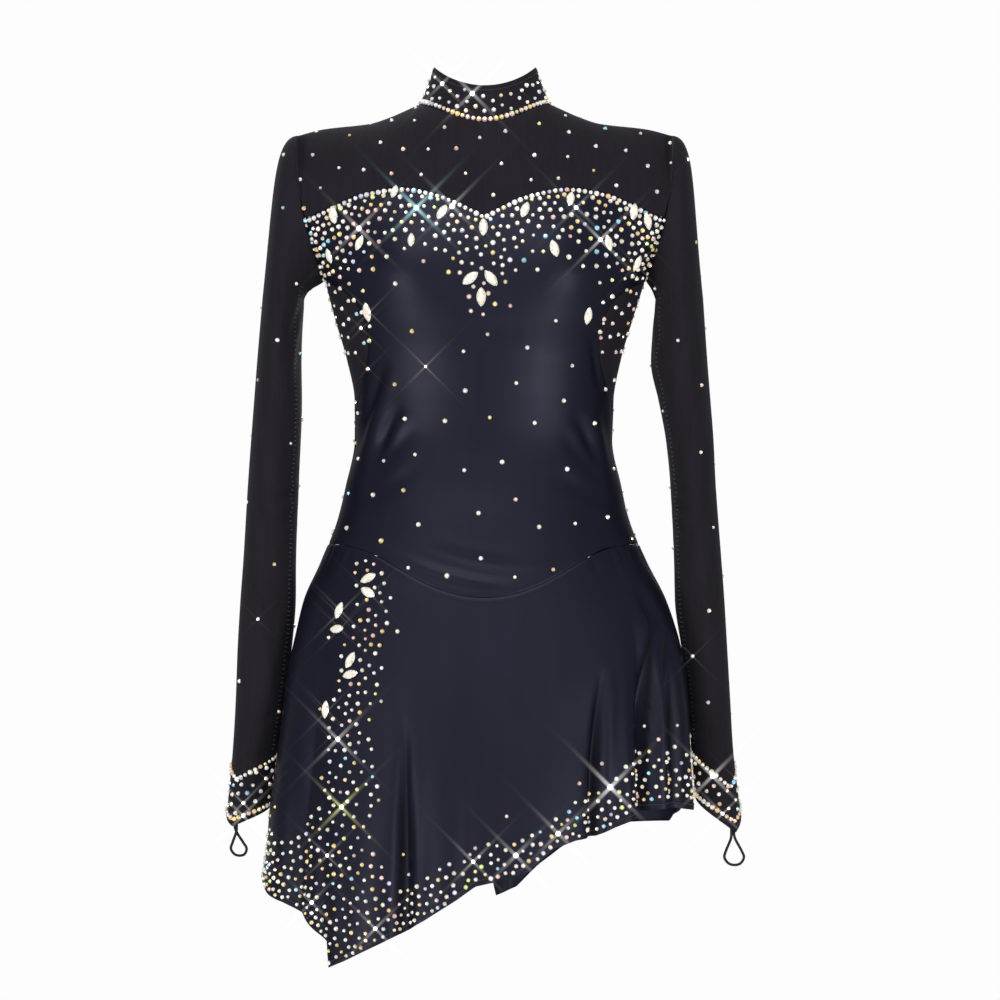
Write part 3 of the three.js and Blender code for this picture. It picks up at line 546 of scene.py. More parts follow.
# The collar from the neck seam (0) to its top edge (1), drawn in as it rises; its angle runs round the neck.
def collarPoint(angle, share):
    across, ahead = sine(angle), cosine(angle)
    bodyAngle = np.degrees(np.arcsin(across * neck["halfWidth"] / shoulderTip["x"]))
    around = np.where(ahead >= -1e-9, bodyAngle, 180 - bodyAngle)
    base = yokePoint(around, neckLevel(around))
    high = np.where(ahead >= 0, collarTop["frontZ"], collarTop["backZ"])
    depth = np.where(ahead >= 0, collarTop["front"], collarTop["back"])
    rimZ = collarTop["sideZ"] + (high - collarTop["sideZ"]) * np.abs(ahead) ** collarTop["rimPower"]
    drawnIn = share ** collarTop["drawnPower"]
    x = lerp(base[..., 0], across * collarTop["halfWidth"], drawnIn)
    y = lerp(base[..., 1], -ahead * depth, drawnIn)
    return stacked(x, y, lerp(base[..., 2] + cloth["gap"], rimZ, share))


# Meshes


# A mesh object from points in millimetres and faces as index arrays of any widths, in the order given.
def meshObject(name, points, faceSets, material, smooth=True):
    sizes = np.concatenate([np.full(len(faces), faces.shape[1]) for faces in faceSets])
    corners = np.concatenate([faces.ravel() for faces in faceSets])
    data = bpy.data.meshes.new(name)
    data.vertices.add(len(points))
    data.vertices.foreach_set("co", (points * millimetre).astype(np.float32).ravel())
    data.loops.add(len(corners))
    data.loops.foreach_set("vertex_index", corners.astype(np.int32))
    data.polygons.add(len(sizes))
    data.polygons.foreach_set("loop_start", (np.cumsum(sizes) - sizes).astype(np.int32))
    data.polygons.foreach_set("use_smooth", np.full(len(sizes), smooth))
    data.update(calc_edges=True)
    data.validate()
    data.materials.append(material)
    made = bpy.data.objects.new(name, data)
    bpy.context.scene.collection.objects.link(made)
    return made


# Unit normals of a grid of points: the cross product of its steps across and down.
def gridNormals(points, facing, closed):
    if closed:
        ring = points[:, :-1]
        across = np.roll(ring, -1, axis=1) - np.roll(ring, 1, axis=1)
        across = np.concatenate([across, across[:, :1]], axis=1)
    else:
        across = np.gradient(points, axis=1)
    return unit(np.cross(across, np.gradient(points, axis=0)) * facing)


# Distance run along a grid's columns from its first row.
def runDown(points):
    steps = np.linalg.norm(np.diff(points, axis=0), axis=2)
    return np.concatenate([np.zeros((1, points.shape[1])), np.cumsum(steps, axis=0)])


# Even steps from 0 to 1 with a few close ones at both ends, so that an edge can roll.
def edged(count, close=(0.0, 0.12, 0.32, 0.6)):
    step = 1 / count
    near = np.array(close) * step
    return np.concatenate([near, np.linspace(step, 1 - step, count - 1), 1 - near[::-1]])


# Four-cornered patches between an outer and an inner grid: both faces, then the top and bottom walls, and on
# an open panel the two side walls. It serves for corner numbers and for map places alike.
def shellPatches(outer, inner, closed):
    patches = [
        (outer[:-1, :-1], outer[:-1, 1:], outer[1:, 1:], outer[1:, :-1]),
        (inner[:-1, :-1], inner[1:, :-1], inner[1:, 1:], inner[:-1, 1:]),
        (outer[0, 1:], outer[0, :-1], inner[0, :-1], inner[0, 1:]),
        (outer[-1, :-1], outer[-1, 1:], inner[-1, 1:], inner[-1, :-1]),
    ]
    if not closed:
        patches.append((outer[:-1, 0], outer[1:, 0], inner[1:, 0], inner[:-1, 0]))
        patches.append((outer[1:, -1], outer[:-1, -1], inner[:-1, -1], inner[1:, -1]))
    return patches


# A cloth panel: a thin closed shell whose outside is the grid of points, with its open edges rolled in a
# little, its hem folded up and raised, and its inside the same grid moved in by the cloth's thickness.
def clothPanel(name, points, facing, material, closed=False, hemmed=False, folds=0.0, lip=0.0):
    normals = gridNormals(points, facing, closed)
    fromTop, fromStart = runDown(points), runDown(points.transpose(1, 0, 2)).T
    fromHem, fromEnd = fromTop[-1] - fromTop, fromStart[:, -1:] - fromStart
    edges = [fromTop, fromHem] if closed else [fromTop, fromHem, fromStart, fromEnd]
    out = -edgeRoll["drop"] * bell(np.minimum.reduce(edges) / edgeRoll["wide"])
    if hemmed:
        out += hemFold["raised"] * (1 - fade(hemFold["full"], hemFold["none"], fromHem))
        out -= hemFold["dent"] * bell((fromHem - hemFold["line"]) / hemFold["lineWide"])
    out += lip * bell((fromTop - seamLip["at"]) / seamLip["wide"]) + folds
    points = points + normals * out[..., None]
    normals = gridNormals(points, facing, closed)

    outer = points[:, :-1] if closed else points
    inward = normals[:, :-1] if closed else normals
    rows, columns = outer.shape[:2]
    index = np.arange(rows * columns).reshape(rows, columns)
    if closed:
        index = np.concatenate([index, index[:, :1]], axis=1)
    along = fromStart - fromStart[:, [fromStart.shape[1] // 2]]
    place = np.stack([along, -fromTop], axis=-1) * millimetre
    faces = [np.stack(p, axis=-1).reshape(-1, 4) for p in shellPatches(index, index + rows * columns, closed)]
    maps = [np.stack(p, axis=-2).reshape(-1, 4, 2) for p in shellPatches(place, place, closed)]
    if facing < 0:
        faces = [f[:, ::-1] for f in faces]
        maps = [m[:, ::-1] for m in maps]
    both = np.concatenate([outer.reshape(-1, 3), (outer - inward * cloth["thick"]).reshape(-1, 3)])
    piece = meshObject(name, both, faces, material)
    layer = piece.data.uv_layers.new(name="clothMap")
    layer.data.foreach_set("uv", np.concatenate([m.reshape(-1) for m in maps]).astype(np.float32))
    return {"piece": piece, "points": points, "normals": normals, "fromTop": fromTop, "fromHem": fromHem}


# Shader maths


# A node's output in a sum: each operator adds one Math node.
class Value:
    def __init__(self, finish, socket):
        self.finish, self.socket = finish, socket

    def sum(self, operation, first, second):
        return self.finish.node("ShaderNodeMath", {"operation": operation}, {0: first, 1: second})

    def __add__(self, other):
        return self.sum("ADD", self, other)

    def __radd__(self, other):
        return self.sum("ADD", other, self)

    def __sub__(self, other):
        return self.sum("SUBTRACT", self, other)

    def __rsub__(self, other):
        return self.sum("SUBTRACT", other, self)

    def __mul__(self, other):
        return self.sum("MULTIPLY", self, other)

    def __rmul__(self, other):
        return self.sum("MULTIPLY", other, self)


# A material with one Principled shader; fixed values are set on the shader's own sockets.
class Finish:
    def __init__(self, name, fixed):
        self.material = bpy.data.materials.new(name)
        self.material.use_nodes = True
        self.nodes = self.material.node_tree.nodes
        self.links = self.material.node_tree.links
        self.shader = self.nodes["Principled BSDF"]
        for socket, value in fixed.items():
            self.shader.inputs[socket].default_value = value

    # Adds a node: its settings first, then the value or link of each socket. Returns one of its outputs.
    def node(self, kind, settings=None, sockets=None, out=0):
        made = self.nodes.new(kind)
        for name, value in (settings or {}).items():
            setattr(made, name, value)
        for name, value in (sockets or {}).items():
            self.plug(made.inputs[name], value)
        return Value(self, made.outputs[out])

    def plug(self, socket, value):
        if isinstance(value, Value):
            self.links.new(value.socket, socket)
        else:
            socket.default_value = value

    def feed(self, **values):
        for name, value in values.items():
            self.plug(self.shader.inputs[name.replace("_", " ")], value)

    # Where each place lies: on the cloth's own map, or on the object.
    def onCloth(self):
        return self.node("ShaderNodeUVMap", {"uv_map": "clothMap"})

    def onObject(self):
        return self.node("ShaderNodeTexCoord", out="Object")

    def noise(self, place, scale, detail=2.0, distortion=0.0):
        sockets = {"Vector": place, "Scale": scale, "Detail": detail, "Distortion": distortion}
        return self.node("ShaderNodeTexNoise", {}, sockets)

    # Noise drawn out by its own scale along each way of the cloth.
    def drawnNoise(self, place, scales):
        return self.noise(self.node("ShaderNodeMapping", {}, {"Vector": place, "Scale": scales}), 1.0, 3.0)

    # A mix of two colours by a factor.
    def blend(self, factor, first, second):
        return self.node("ShaderNodeMix", {"data_type": "RGBA"}, {0: factor, 6: first, 7: second}, out=2)

    def bump(self, height, distance, strength):
        sockets = {"Height": height, "Distance": distance, "Strength": strength}
        self.feed(Normal=self.node("ShaderNodeBump", {}, sockets))


print("materials")


# Matte stretch mesh: rounded holes in offset rows between ribs that run down the cloth, threads that differ a
# little, and streaks and broad soft mottling. The pattern follows the cloth's own map, in millimetres.
def meshFinish():
    tone = {"dark": (0.0060, 0.0052, 0.0074, 1), "light": (0.0178, 0.0158, 0.0222, 1), "pitch": 1.25}
    finish = Finish("matteMesh", {
        "Roughness": 0.85, "Specular IOR Level": 0.1, "Sheen Weight": 0.05, "Sheen Roughness": 0.5,
        "Sheen Tint": (0.8, 0.76, 0.9, 1),
    })
    place = finish.onCloth()
    scale = 1 / (tone["pitch"] * millimetre)
    rows = finish.node("ShaderNodeVectorMath", {"operation": "SCALE"}, {0: place, "Scale": scale})
    holes = finish.node("ShaderNodeTexVoronoi", {}, {"Vector": rows, "Scale": 1.0, "Randomness": 0.2})
    threads = finish.noise(place, 900.0)
    streaks = finish.drawnNoise(place, (210.0, 26.0, 1.0))
    mottle = finish.noise(place, 17.0, 3.0)
    solid = finish.node("ShaderNodeMapRange", {}, {"Value": holes, "From Min": 0.12, "From Max": 0.5})
    amount = solid * 0.45 + streaks * 0.5 + mottle * 0.5 + threads * 0.15 - 0.32
    colour = finish.blend(amount, tone["dark"], tone["light"])
    finish.feed(Base_Color=colour, Roughness=0.92 - mottle * 0.14)
    finish.bump(solid * 0.7 + threads * 0.3 + streaks * 0.6, 0.00016, 0.55)
    return finish.material


# Stretch satin: fine knitted wales and courses, a blue-black ground that varies softly, and a low broad
# gloss. Painted shade darkens it down in the folds, and it is duller there.
def satinFinish():
    # deep is the near-black painted shade colour for the folds
    tone = {"dark": (0.0047, 0.0045, 0.0100, 1), "light": (0.0106, 0.0102, 0.0212, 1),
            "deep": (0.0012, 0.0011, 0.0030, 1), "wales": 1150.0}
    finish = Finish("stretchSatin", {
        "Roughness": 0.42, "Specular IOR Level": 0.22, "Specular Tint": (0.74, 0.78, 1.0, 1),
    })
    place = finish.onCloth()
    across = finish.node("ShaderNodeSeparateXYZ", {}, {0: place}, out=0)
    down = finish.node("ShaderNodeSeparateXYZ", {}, {0: place}, out=1)
    wale = finish.node("ShaderNodeMath", {"operation": "SINE"}, {0: across * (tone["wales"] * 2 * np.pi)})
    course = finish.node("ShaderNodeMath", {"operation": "SINE"}, {0: down * (tone["wales"] * 3.4)})
    slub = finish.noise(place, 420.0, 3.0)
    drawn = finish.drawnNoise(place, (62.0, 7.0, 1.0))
    broad = finish.noise(place, 9.0)
    paintedFoldShade = finish.node("ShaderNodeAttribute", {"attribute_name": "paintedFoldShade"}, {}, out="Fac")
    colour = finish.blend(broad * 0.6 + slub * 0.2 + drawn * 0.3 - 0.05, tone["dark"], tone["light"])
    # painted shade: the colour is blended towards the near-black deep tone down in the folds
    colour = finish.blend(paintedFoldShade, colour, tone["deep"])
    finish.feed(Base_Color=colour, Roughness=0.35 + broad * 0.07 + drawn * 0.08 + paintedFoldShade * 0.35)
    finish.bump(wale * 0.3 + course * 0.15 + slub * 0.5 + drawn * 0.8, 0.00008, 0.4)
    return finish.material


# Cut glass with a pearly coating: each facet's own tint, with its painted share of light, comes from the
# stone's colour attribute, which also makes every stone glow a little as painted sparkle.
def crystalFinish():
    finish = Finish("crystal", {
        "Metallic": 0.3, "Roughness": 0.12, "Specular IOR Level": 0.9, "Coat Weight": 0.7,
        "Coat Roughness": 0.05, "Emission Strength": 0.42,
    })
    tintAndLight = finish.node("ShaderNodeAttribute", {"attribute_name": "facetTintAndPaintedLight"})
    place = finish.onObject()
    cloud = finish.noise(place, 350.0, 1.0)
    colour = finish.node("ShaderNodeMix", {"data_type": "RGBA", "clamp_result": True},
                         {0: cloud * 0.25, 6: tintAndLight, 7: (1.0, 0.98, 0.93, 1)}, out=2)
    # painted sparkle: the same tint and painted light also feed the glow
    finish.feed(Base_Color=colour, Emission_Color=tintAndLight, Roughness=0.08 + cloud * 0.12)
    return finish.material


# Braided elastic: two crossing sets of slanting ridges.
def elasticFinish():
    finish = Finish("braidedElastic", {"Roughness": 0.75, "Specular IOR Level": 0.2, "Sheen Weight": 0.1})
    place = finish.onObject()
    strands = finish.node("ShaderNodeTexWave", {"bands_direction": "DIAGONAL"},
                          {"Vector": place, "Scale": 260.0, "Distortion": 1.5})
    fuzz = finish.noise(place, 1500.0)
    amount = strands * 0.7 + fuzz * 0.3
    finish.feed(Base_Color=finish.blend(amount, (0.006, 0.006, 0.008, 1), (0.024, 0.023, 0.028, 1)))
    finish.bump(strands + fuzz * 0.3, 0.00025, 0.6)
    return finish.material


# Glossy dark plastic with a faint swirl.
def buttonFinish():
    finish = Finish("glossyButton", {"Roughness": 0.2, "Coat Weight": 0.4, "Coat Roughness": 0.08})
    place = finish.onObject()
    swirl = finish.noise(place, 240.0, distortion=1.0)
    finish.feed(Base_Color=finish.blend(swirl, (0.006, 0.006, 0.010, 1), (0.020, 0.020, 0.032, 1)),
                Roughness=0.16 + swirl * 0.15)
    return finish.material


# Sewing thread: twisted, a shade lighter than the cloth.
def threadFinish():
    finish = Finish("sewingThread", {"Roughness": 0.6, "Sheen Weight": 0.2})
    place = finish.onObject()
    ply = finish.noise(place, 2600.0)
    finish.feed(Base_Color=finish.blend(ply, (0.030, 0.029, 0.038, 1), (0.085, 0.082, 0.100, 1)))
    return finish.material


finishes = {
    "mesh": meshFinish(), "satin": satinFinish(), "crystal": crystalFinish(), "elastic": elasticFinish(),
    "button": buttonFinish(), "thread": threadFinish(),
}

print("finger loops")
loopCord = {"diameter": 2.6, "samples": 90, "wall": 1.2, "clear": 0.5}
loops = {
    "right": {"bottom": -702, "half": 7.7, "lean": 4, "length": 0.083},
    "left": {"bottom": -711, "half": 9, "lean": -2, "length": 0.09},
}


# A centripetal Catmull-Rom curve through the points: each stretch is blended from three straight runs.
def throughPoints(points, count):
    ends = np.concatenate([[2 * points[0] - points[1]], points, [2 * points[-1] - points[-2]]])
    knots = np.concatenate([[0], np.cumsum(np.linalg.norm(np.diff(ends, axis=0), axis=1) ** 0.5)])
    t = np.linspace(knots[1], knots[-2], count)
    i = np.clip(np.searchsorted(knots, t, side="right") - 1, 1, len(ends) - 3)

    def run(a, b, first, second):
        share = ((t - knots[a]) / (knots[b] - knots[a]))[:, None]
        return first * (1 - share) + second * share

    a1 = run(i - 1, i, ends[i - 1], ends[i])
    a2 = run(i, i + 1, ends[i], ends[i + 1])
    a3 = run(i + 1, i + 2, ends[i + 1], ends[i + 2])
    return run(i, i + 1, run(i - 1, i + 1, a1, a2), run(i, i + 2, a2, a3))


# The loop's route: down out of the cuff's point, round a teardrop and back up beside itself. Each row has its
# place round the sleeve, its spread and its height.
def loopRoute(side):
    loop, sleeve = loops[side], sleeves[side]
    sign, thick = sleeve["sign"], loopCord["diameter"] / 2
    tip, low, half = float(cuffHemZ(sleeve, cuffTipTurn)), loop["bottom"] + thick, loop["half"]
    high = tip - low
    before, at, after = sleeveRing(sleeve, cuffTipTurn + np.array([-1.0, 0.0, 1.0]), tip + 4)
    sideways = unit(after - before)
    inwards = np.array([-sideways[1], sideways[0], 0])
    inwards = inwards * -np.sign(inwards[0] * sign)
    root = at + inwards * (loopCord["wall"] + cloth["gap"] + thick + loopCord["clear"])
    rows = np.array([
        [1.7, 0, tip + 7],
        [1.7, 0, tip + 2],
        [1.5, -0.8, tip - high * 0.16],
        [1, -half * 0.72, low + high * 0.46],
        [0.4, -half, low + high * 0.24],
        [0, -half * 0.62, low + high * 0.05],
        [0, 0, low],
        [0, half * 0.62, low + high * 0.05],
        [-0.4, half, low + high * 0.24],
        [-1, half * 0.72, low + high * 0.46],
        [-1.5, 0.8, tip - high * 0.16],
        [-1.7, 0, tip + 2],
        [-1.7, 0, tip + 7],
    ])
    places = root + sideways * rows[:, :1] * sign
    lean = loop["lean"] * np.clip((tip - rows[:, 2]) / high, 0, 1)
    return np.column_stack([places[:, 0] + sign * (rows[:, 1] - lean), places[:, 1], rows[:, 2]])


def makeLoop(side):
    route = throughPoints(loopRoute(side), loopCord["samples"]) * millimetre
    data = bpy.data.curves.new("fingerLoop" + side.title(), "CURVE")
    data.dimensions = "3D"
    data.bevel_depth = loopCord["diameter"] / 2 * millimetre
    data.bevel_resolution = 3
    data.use_fill_caps = True
    spline = data.splines.new("POLY")
    spline.points.add(len(route) - 1)
    spline.points.foreach_set("co", np.column_stack([route, np.ones(len(route))]).ravel())
    data.materials.append(finishes["elastic"])
    loop = bpy.data.objects.new(data.name, data)
    bpy.context.scene.collection.objects.link(loop)
    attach(loop, "root")
    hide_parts("finger_loop_" + side)
    print("  loop", side, "length", np.linalg.norm(np.diff(route, axis=0), axis=1).sum().round(4))


for side in loops:
    makeLoop(side)

print("cloth")
panels = {}


# The area of each cell of a panel's grid.
def cellAreas(panel):
    across, down = np.diff(panel["points"], axis=1)[:-1], np.diff(panel["points"], axis=0)[:, :-1]
    return np.linalg.norm(np.cross(across, down), axis=-1)


# Keeps a panel, hangs it on its body and hides the solids it stands for; it prints the area drawn beside the
# size it was cut to.
def declare(name, panel, nodes, area):
    panels[name] = panel
    piece = panel["piece"]
    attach(piece, "root")
    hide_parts(*nodes)
    drawn = cellAreas(panel).sum() * millimetre**2
    print("  {:18s} area {:.4f} m2, declared {:.4f}".format(name, drawn, area))


seamShare = cloth["gap"] / 2 / (shoulderTip["z"] - underarmZ)
halfGap = 0.02  # degrees


def makeYoke():
    angle, v = np.meshgrid(lerp(-90, 90, edged(120)), edged(44))
    level = lerp(neckLevel(angle), sweetheartLevel(angle) - seamShare, v**1.25)
    points = bodyPoint(angle, level)
    panel = clothPanel("yokeFrontCloth", points, -1, finishes["mesh"])
    declare("yoke", panel, ["yoke_front"], 0.040)


def makeBodice():
    u, v = np.meshgrid(lerp(-1, 1, edged(150)), np.concatenate([edged(26)[:-1], 1 + edged(110)]))
    top = lerp(sweetheartLevel(u * 90) + seamShare, 1, v)
    level = np.where(v > 1, v, top)
    angle = u * (sideAngle(level) - np.where(v > 1, halfGap, 0))
    points = bodyPoint(angle, level)
    panel = clothPanel("bodiceFrontCloth", points, -1, finishes["satin"])
    declare("bodice", panel, ["bodice_front"], 0.112)


def makeBack():
    for side, sign in [("right", -1), ("left", 1)]:
        u, v = np.meshgrid(edged(70), np.concatenate([edged(60)[:-1], 1 + edged(60)]))
        near = 2 * seamShare
        edge = np.maximum(sideAngle(v - near), sideAngle(v + near)) + halfGap
        angle = sign * lerp(edge, 180 - halfGap, u)
        end = backWaistLevel(angle) - seamShare
        level = np.where(v <= 1, lerp(neckLevel(angle), 1, v), lerp(1, end, v - 1))
        # the side seam's angle is read at the true level, so it is worked out once more from it
        edge = np.where(v <= 1, 90, np.maximum(sideAngle(level - near), sideAngle(level + near))) + halfGap
        angle = sign * lerp(edge, 180 - halfGap, u)
        points = bodyPoint(angle, level)
        panel = clothPanel("backMeshCloth" + side.title(), points, -sign, finishes["mesh"])
        declare("back" + side.title(), panel, ["back_mesh_" + side], 0.067)


def makeLowBack():
    angle, v = np.meshgrid(lerp(90 + halfGap, 270 - halfGap, edged(110)), edged(44))
    points = bodyPoint(angle, lerp(backWaistLevel(angle) + seamShare, 2, v))
    panel = clothPanel("bodiceBackCloth", points, -1, finishes["satin"])
    declare("lowBack", panel, ["bodice_back"], 0.044)


# How deep each place lies in its folds, kept on the cloth so that painted shade can darken the satin there.
def markPaintedFoldShade(panel, creases):
    place = panel["points"]
    deep = np.clip(-creaseRelief(creases, place[..., 0], place[..., 2]) / 6, 0, 1).ravel()
    layer = panel["piece"].data.attributes.new("paintedFoldShade", "FLOAT", "POINT")
    layer.data.foreach_set("value", np.concatenate([deep, deep]).astype(np.float32))


def makeSkirt():
    for name, start, end, creases, flat, area in [
        ("Front", -90, 90, skirtCreases, (0.52, 0.39), 0.152),
        ("Back", 90 + halfGap, 270 - halfGap, skirtBackCreases, (0.56, 0.36), 0.16),
    ]:
        angle, v = np.meshgrid(lerp(start, end, edged(300)), edged(110))
        panel = clothPanel("skirt" + name + "Cloth", skirtPoint(angle, v), -1, finishes["satin"], hemmed=True,
                           lip=seamLip["high"])
        markPaintedFoldShade(panel, creases)
        declare("skirt" + name, panel, ["skirt_" + name.lower()], area)


def makeSleeves():
    perDegree = 0.42  # millimetres round a sleeve
    levels = np.concatenate([edged(36)[:-1], 1 + edged(110)[:-1], 2 + edged(22)])
    for side, sleeve in sleeves.items():
        turn, level = np.meshgrid(lerp(180, 540, np.linspace(0, 1, 97)), levels)
        points = sleevePoint(sleeve, turn, level)
        folds = creaseRelief(sleeveCreases, (turn % 360) * perDegree, points[..., 2] + sleeve["creasesDown"])
        panel = clothPanel("sleeveCloth" + side.title(), points, sleeve["sign"], finishes["mesh"],
                           closed=True, hemmed=True, folds=folds)
        nodes = ["sleeve_upper_" + side, "sleeve_lower_" + side]
        declare("sleeve" + side.title(), panel, nodes, 0.12)


def makeCollar():
    slit = 0.4  # degrees from the centre back to each end
    angle, v = np.meshgrid(lerp(-180 + slit, 180 - slit, edged(180)), edged(30))
    panel = clothPanel("collarCloth", collarPoint(angle, v), 1, finishes["mesh"], hemmed=True)
    declare("collar", panel, ["collar"], 0.0117)


makeCollar()
makeYoke()
makeBodice()
makeBack()
makeLowBack()
makeSkirt()
makeSleeves()

print("stones")
roundStone = {
    "sides": 8, "sunk": 0.06, "high": 0.36, "table": 0.27, "size": 4.5, "vary": 0.2, "dim": 0.62, "catch": 7,
    "flash": 1.5, "flashSize": 1.12,
}
tints = np.array([
    [1.0, 0.93, 0.76],  # cream
    [1.0, 0.99, 0.96],  # white
    [1.0, 0.72, 0.30],  # gold
    [1.0, 0.66, 0.58],  # pink
    [0.36, 0.78, 1.0],  # aqua
    [0.80, 0.98, 0.30],  # green
    [0.74, 0.72, 1.0],  # lavender
])
mixes = {
    "warm": [0.48, 0.16, 0.16, 0.11, 0.03, 0.03, 0.03],
    "cool": [0.34, 0.38, 0.07, 0.08, 0.05, 0.02, 0.06],
    "golden": [0.30, 0.08, 0.44, 0.16, 0.00, 0.02, 0.00],
}

# Stones painted with a glint: the nearest one to each of these places (across, up) on the front glows far
# brighter than white, with how strongly and its tint.
paintedGlints = np.array([
    [-15, -80, 34, 0.55, 0.75, 1.0],
    [-60, -98, 16, 0.45, 0.95, 1.0],
    [-118, -112, 11, 1.0, 0.9, 0.85],
    [112, -124, 14, 1.0, 0.97, 0.9],
    [-4, -158, 16, 1.0, 0.97, 0.9],
    [80, -92, 8, 0.8, 0.95, 1.0],
    [-36, -95, 7, 1.0, 0.95, 0.9],
    [26, -267, 16, 0.8, 1.0, 0.95],
    [-104, -436, 16, 1.0, 0.97, 0.9],
    [-122, -508, 14, 1.0, 0.95, 0.85],
    [-124, -524, 10, 1.0, 0.95, 0.85],
    [-139, -585, 11, 1.0, 0.97, 0.92],
    [-132, -640, 16, 0.95, 1.0, 0.35],
    [-146, -688, 9, 1.0, 0.92, 0.8],
    [-158, -728, 8, 1.0, 0.95, 0.9],
    [-98, -750, 10, 1.0, 0.97, 0.92],
    [-6, -690, 10, 1.0, 0.97, 0.92],
    [29, -688, 9, 1.0, 0.97, 0.92],
    [69, -664, 10, 1.0, 0.97, 0.92],
    [115, -631, 15, 1.0, 0.98, 0.95],
    [-38, 30, 9, 0.9, 0.97, 1.0],
    [-8, 20, 9, 1.0, 0.98, 0.95],
    [30, 28, 9, 0.95, 0.98, 1.0],
    [213, -623, 12, 1.0, 0.98, 0.95],
    [-236, -612, 6, 1.0, 0.98, 0.95],
])


# Values on a panel's grid at fractional rows and columns, each a blend of the four around it.
def sampled(values, row, column):
    r = np.minimum(row.astype(int), values.shape[0] - 2)
    c = np.minimum(column.astype(int), values.shape[1] - 2)
    fr, fc = row - r, column - c
    if values.ndim == 3:
        fr, fc = fr[:, None], fc[:, None]
    high = lerp(values[r, c], values[r, c + 1], fc)
    return lerp(high, lerp(values[r + 1, c], values[r + 1, c + 1], fc), fr)


# Stones strewn over a panel: tries fall evenly on the cloth, thicker where the spacing is close, and each is
# kept if nothing kept before it lies within its own spacing.
def strewn(panel, spacing, tries, seed, avoid=None):
    random = np.random.default_rng(seed)
    points = panel["points"]
    area = cellAreas(panel)
    wanted = spacing(points[:-1, :-1], panel["fromTop"][:-1, :-1], panel["fromHem"][:-1, :-1])
    weight = (area / wanted**2).ravel()
    cell = random.choice(weight.size, tries, p=weight / weight.sum())
    row = cell // area.shape[1] + random.random(tries)
    column = cell % area.shape[1] + random.random(tries)
    place = sampled(points, row, column)
    gaps = spacing(place, sampled(panel["fromTop"], row, column), sampled(panel["fromHem"], row, column))
    kept, count = np.zeros((tries, 3)), 0
    chosen = []
    if avoid is not None:
        clear = (np.linalg.norm(place[:, None] - avoid[None, :, :3], axis=2) > avoid[None, :, 3]).all(axis=1)
        gaps = np.where(clear, gaps, np.inf)
    for i in np.flatnonzero(np.isfinite(gaps)):
        if ((kept[:count] - place[i]) ** 2).sum(axis=1).min(initial=1e9) > gaps[i] ** 2:
            kept[count] = place[i]
            count += 1
            chosen.append(i)
    return place[chosen], unit(sampled(panel["normals"], row, column))[chosen]


# The line on a panel at one distance from its top edge or its hem.
def lineAt(panel, distance, edge):
    turned = slice(None) if edge == "top" else slice(None, None, -1)
    run = (panel["fromTop"] if edge == "top" else panel["fromHem"])[turned]
    points, normals = panel["points"][turned], panel["normals"][turned]
    row = np.clip((run <= distance).sum(axis=0) - 1, 0, len(run) - 2)
    column = np.arange(run.shape[1])
    share = ((distance - run[row, column]) / (run[row + 1, column] - run[row, column]))[:, None]
    return (lerp(points[row, column], points[row + 1, column], share),
            lerp(normals[row, column], normals[row + 1, column], share))


# Places at an even pitch along a line, between two shares of its length.
def paced(line, pitch, start=0.0, end=1.0):
    points, normals = line
    run = np.concatenate([[0], np.cumsum(np.linalg.norm(np.diff(points, axis=0), axis=1))])
    count = max(2, int(round(run[-1] * (end - start) / pitch)) + 1)
    at = np.linspace(run[-1] * start, run[-1] * end, count)
    place = np.stack([np.interp(at, run, points[:, k]) for k in range(3)], axis=-1)
    return place, unit(np.stack([np.interp(at, run, normals[:, k]) for k in range(3)], axis=-1))


# Many copies of one small faceted shape, each turned to its own normal, spun and scaled, as one mesh. Every
# facet gets its stone's tint times its own random share of painted light, so that some facets look lit and
# others shaded.
def stoneMesh(name, shape, faces, paintedFacetLight, place, axes, sizes, colours, seed):
    random = np.random.default_rng(seed)
    across, along, normal = axes
    turned = (shape[None, :, 0, None] * across[:, None] + shape[None, :, 1, None] * along[:, None]
              + shape[None, :, 2, None] * normal[:, None])
    points = (place[:, None] + turned * sizes[:, None, None]).reshape(-1, 3)
    offset = (np.arange(len(place)) * len(shape))[:, None, None]
    faceSets = [(one[None] + offset).reshape(-1, one.shape[1]) for one in faces]
    piece = meshObject(name, points, faceSets, finishes["crystal"], smooth=False)
    corners = []
    for one, (low, high) in zip(faces, paintedFacetLight):
        # painted light: each facet's brightness is drawn at random from its share
        light = random.uniform(low, high, (len(place), len(one), 1, 1))
        tone = colours[:, None, None] * light * np.ones((1, 1, one.shape[1], 1))
        corners.append(tone.reshape(-1, 3))
    corners = np.concatenate(corners)
    corners = np.column_stack([corners, np.ones(len(corners))]).astype(np.float32)
    layer = piece.data.color_attributes.new("facetTintAndPaintedLight", "FLOAT_COLOR", "CORNER")
    layer.data.foreach_set("color", corners.ravel())
    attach(piece, "root")
    return piece


# Two directions square to each normal, spun by a random angle.
def spun(normal, seed):
    random = np.random.default_rng(seed)
    side = unit(np.cross(normal, np.where(np.abs(normal[:, 2:]) < 0.9, [0.0, 0.0, 1.0], [1.0, 0.0, 0.0])))
    along = np.cross(normal, side)
    angle = random.uniform(0, 2 * np.pi, (len(normal), 1))
    across = side * np.cos(angle) + along * np.sin(angle)
    return across, np.cross(normal, across), normal
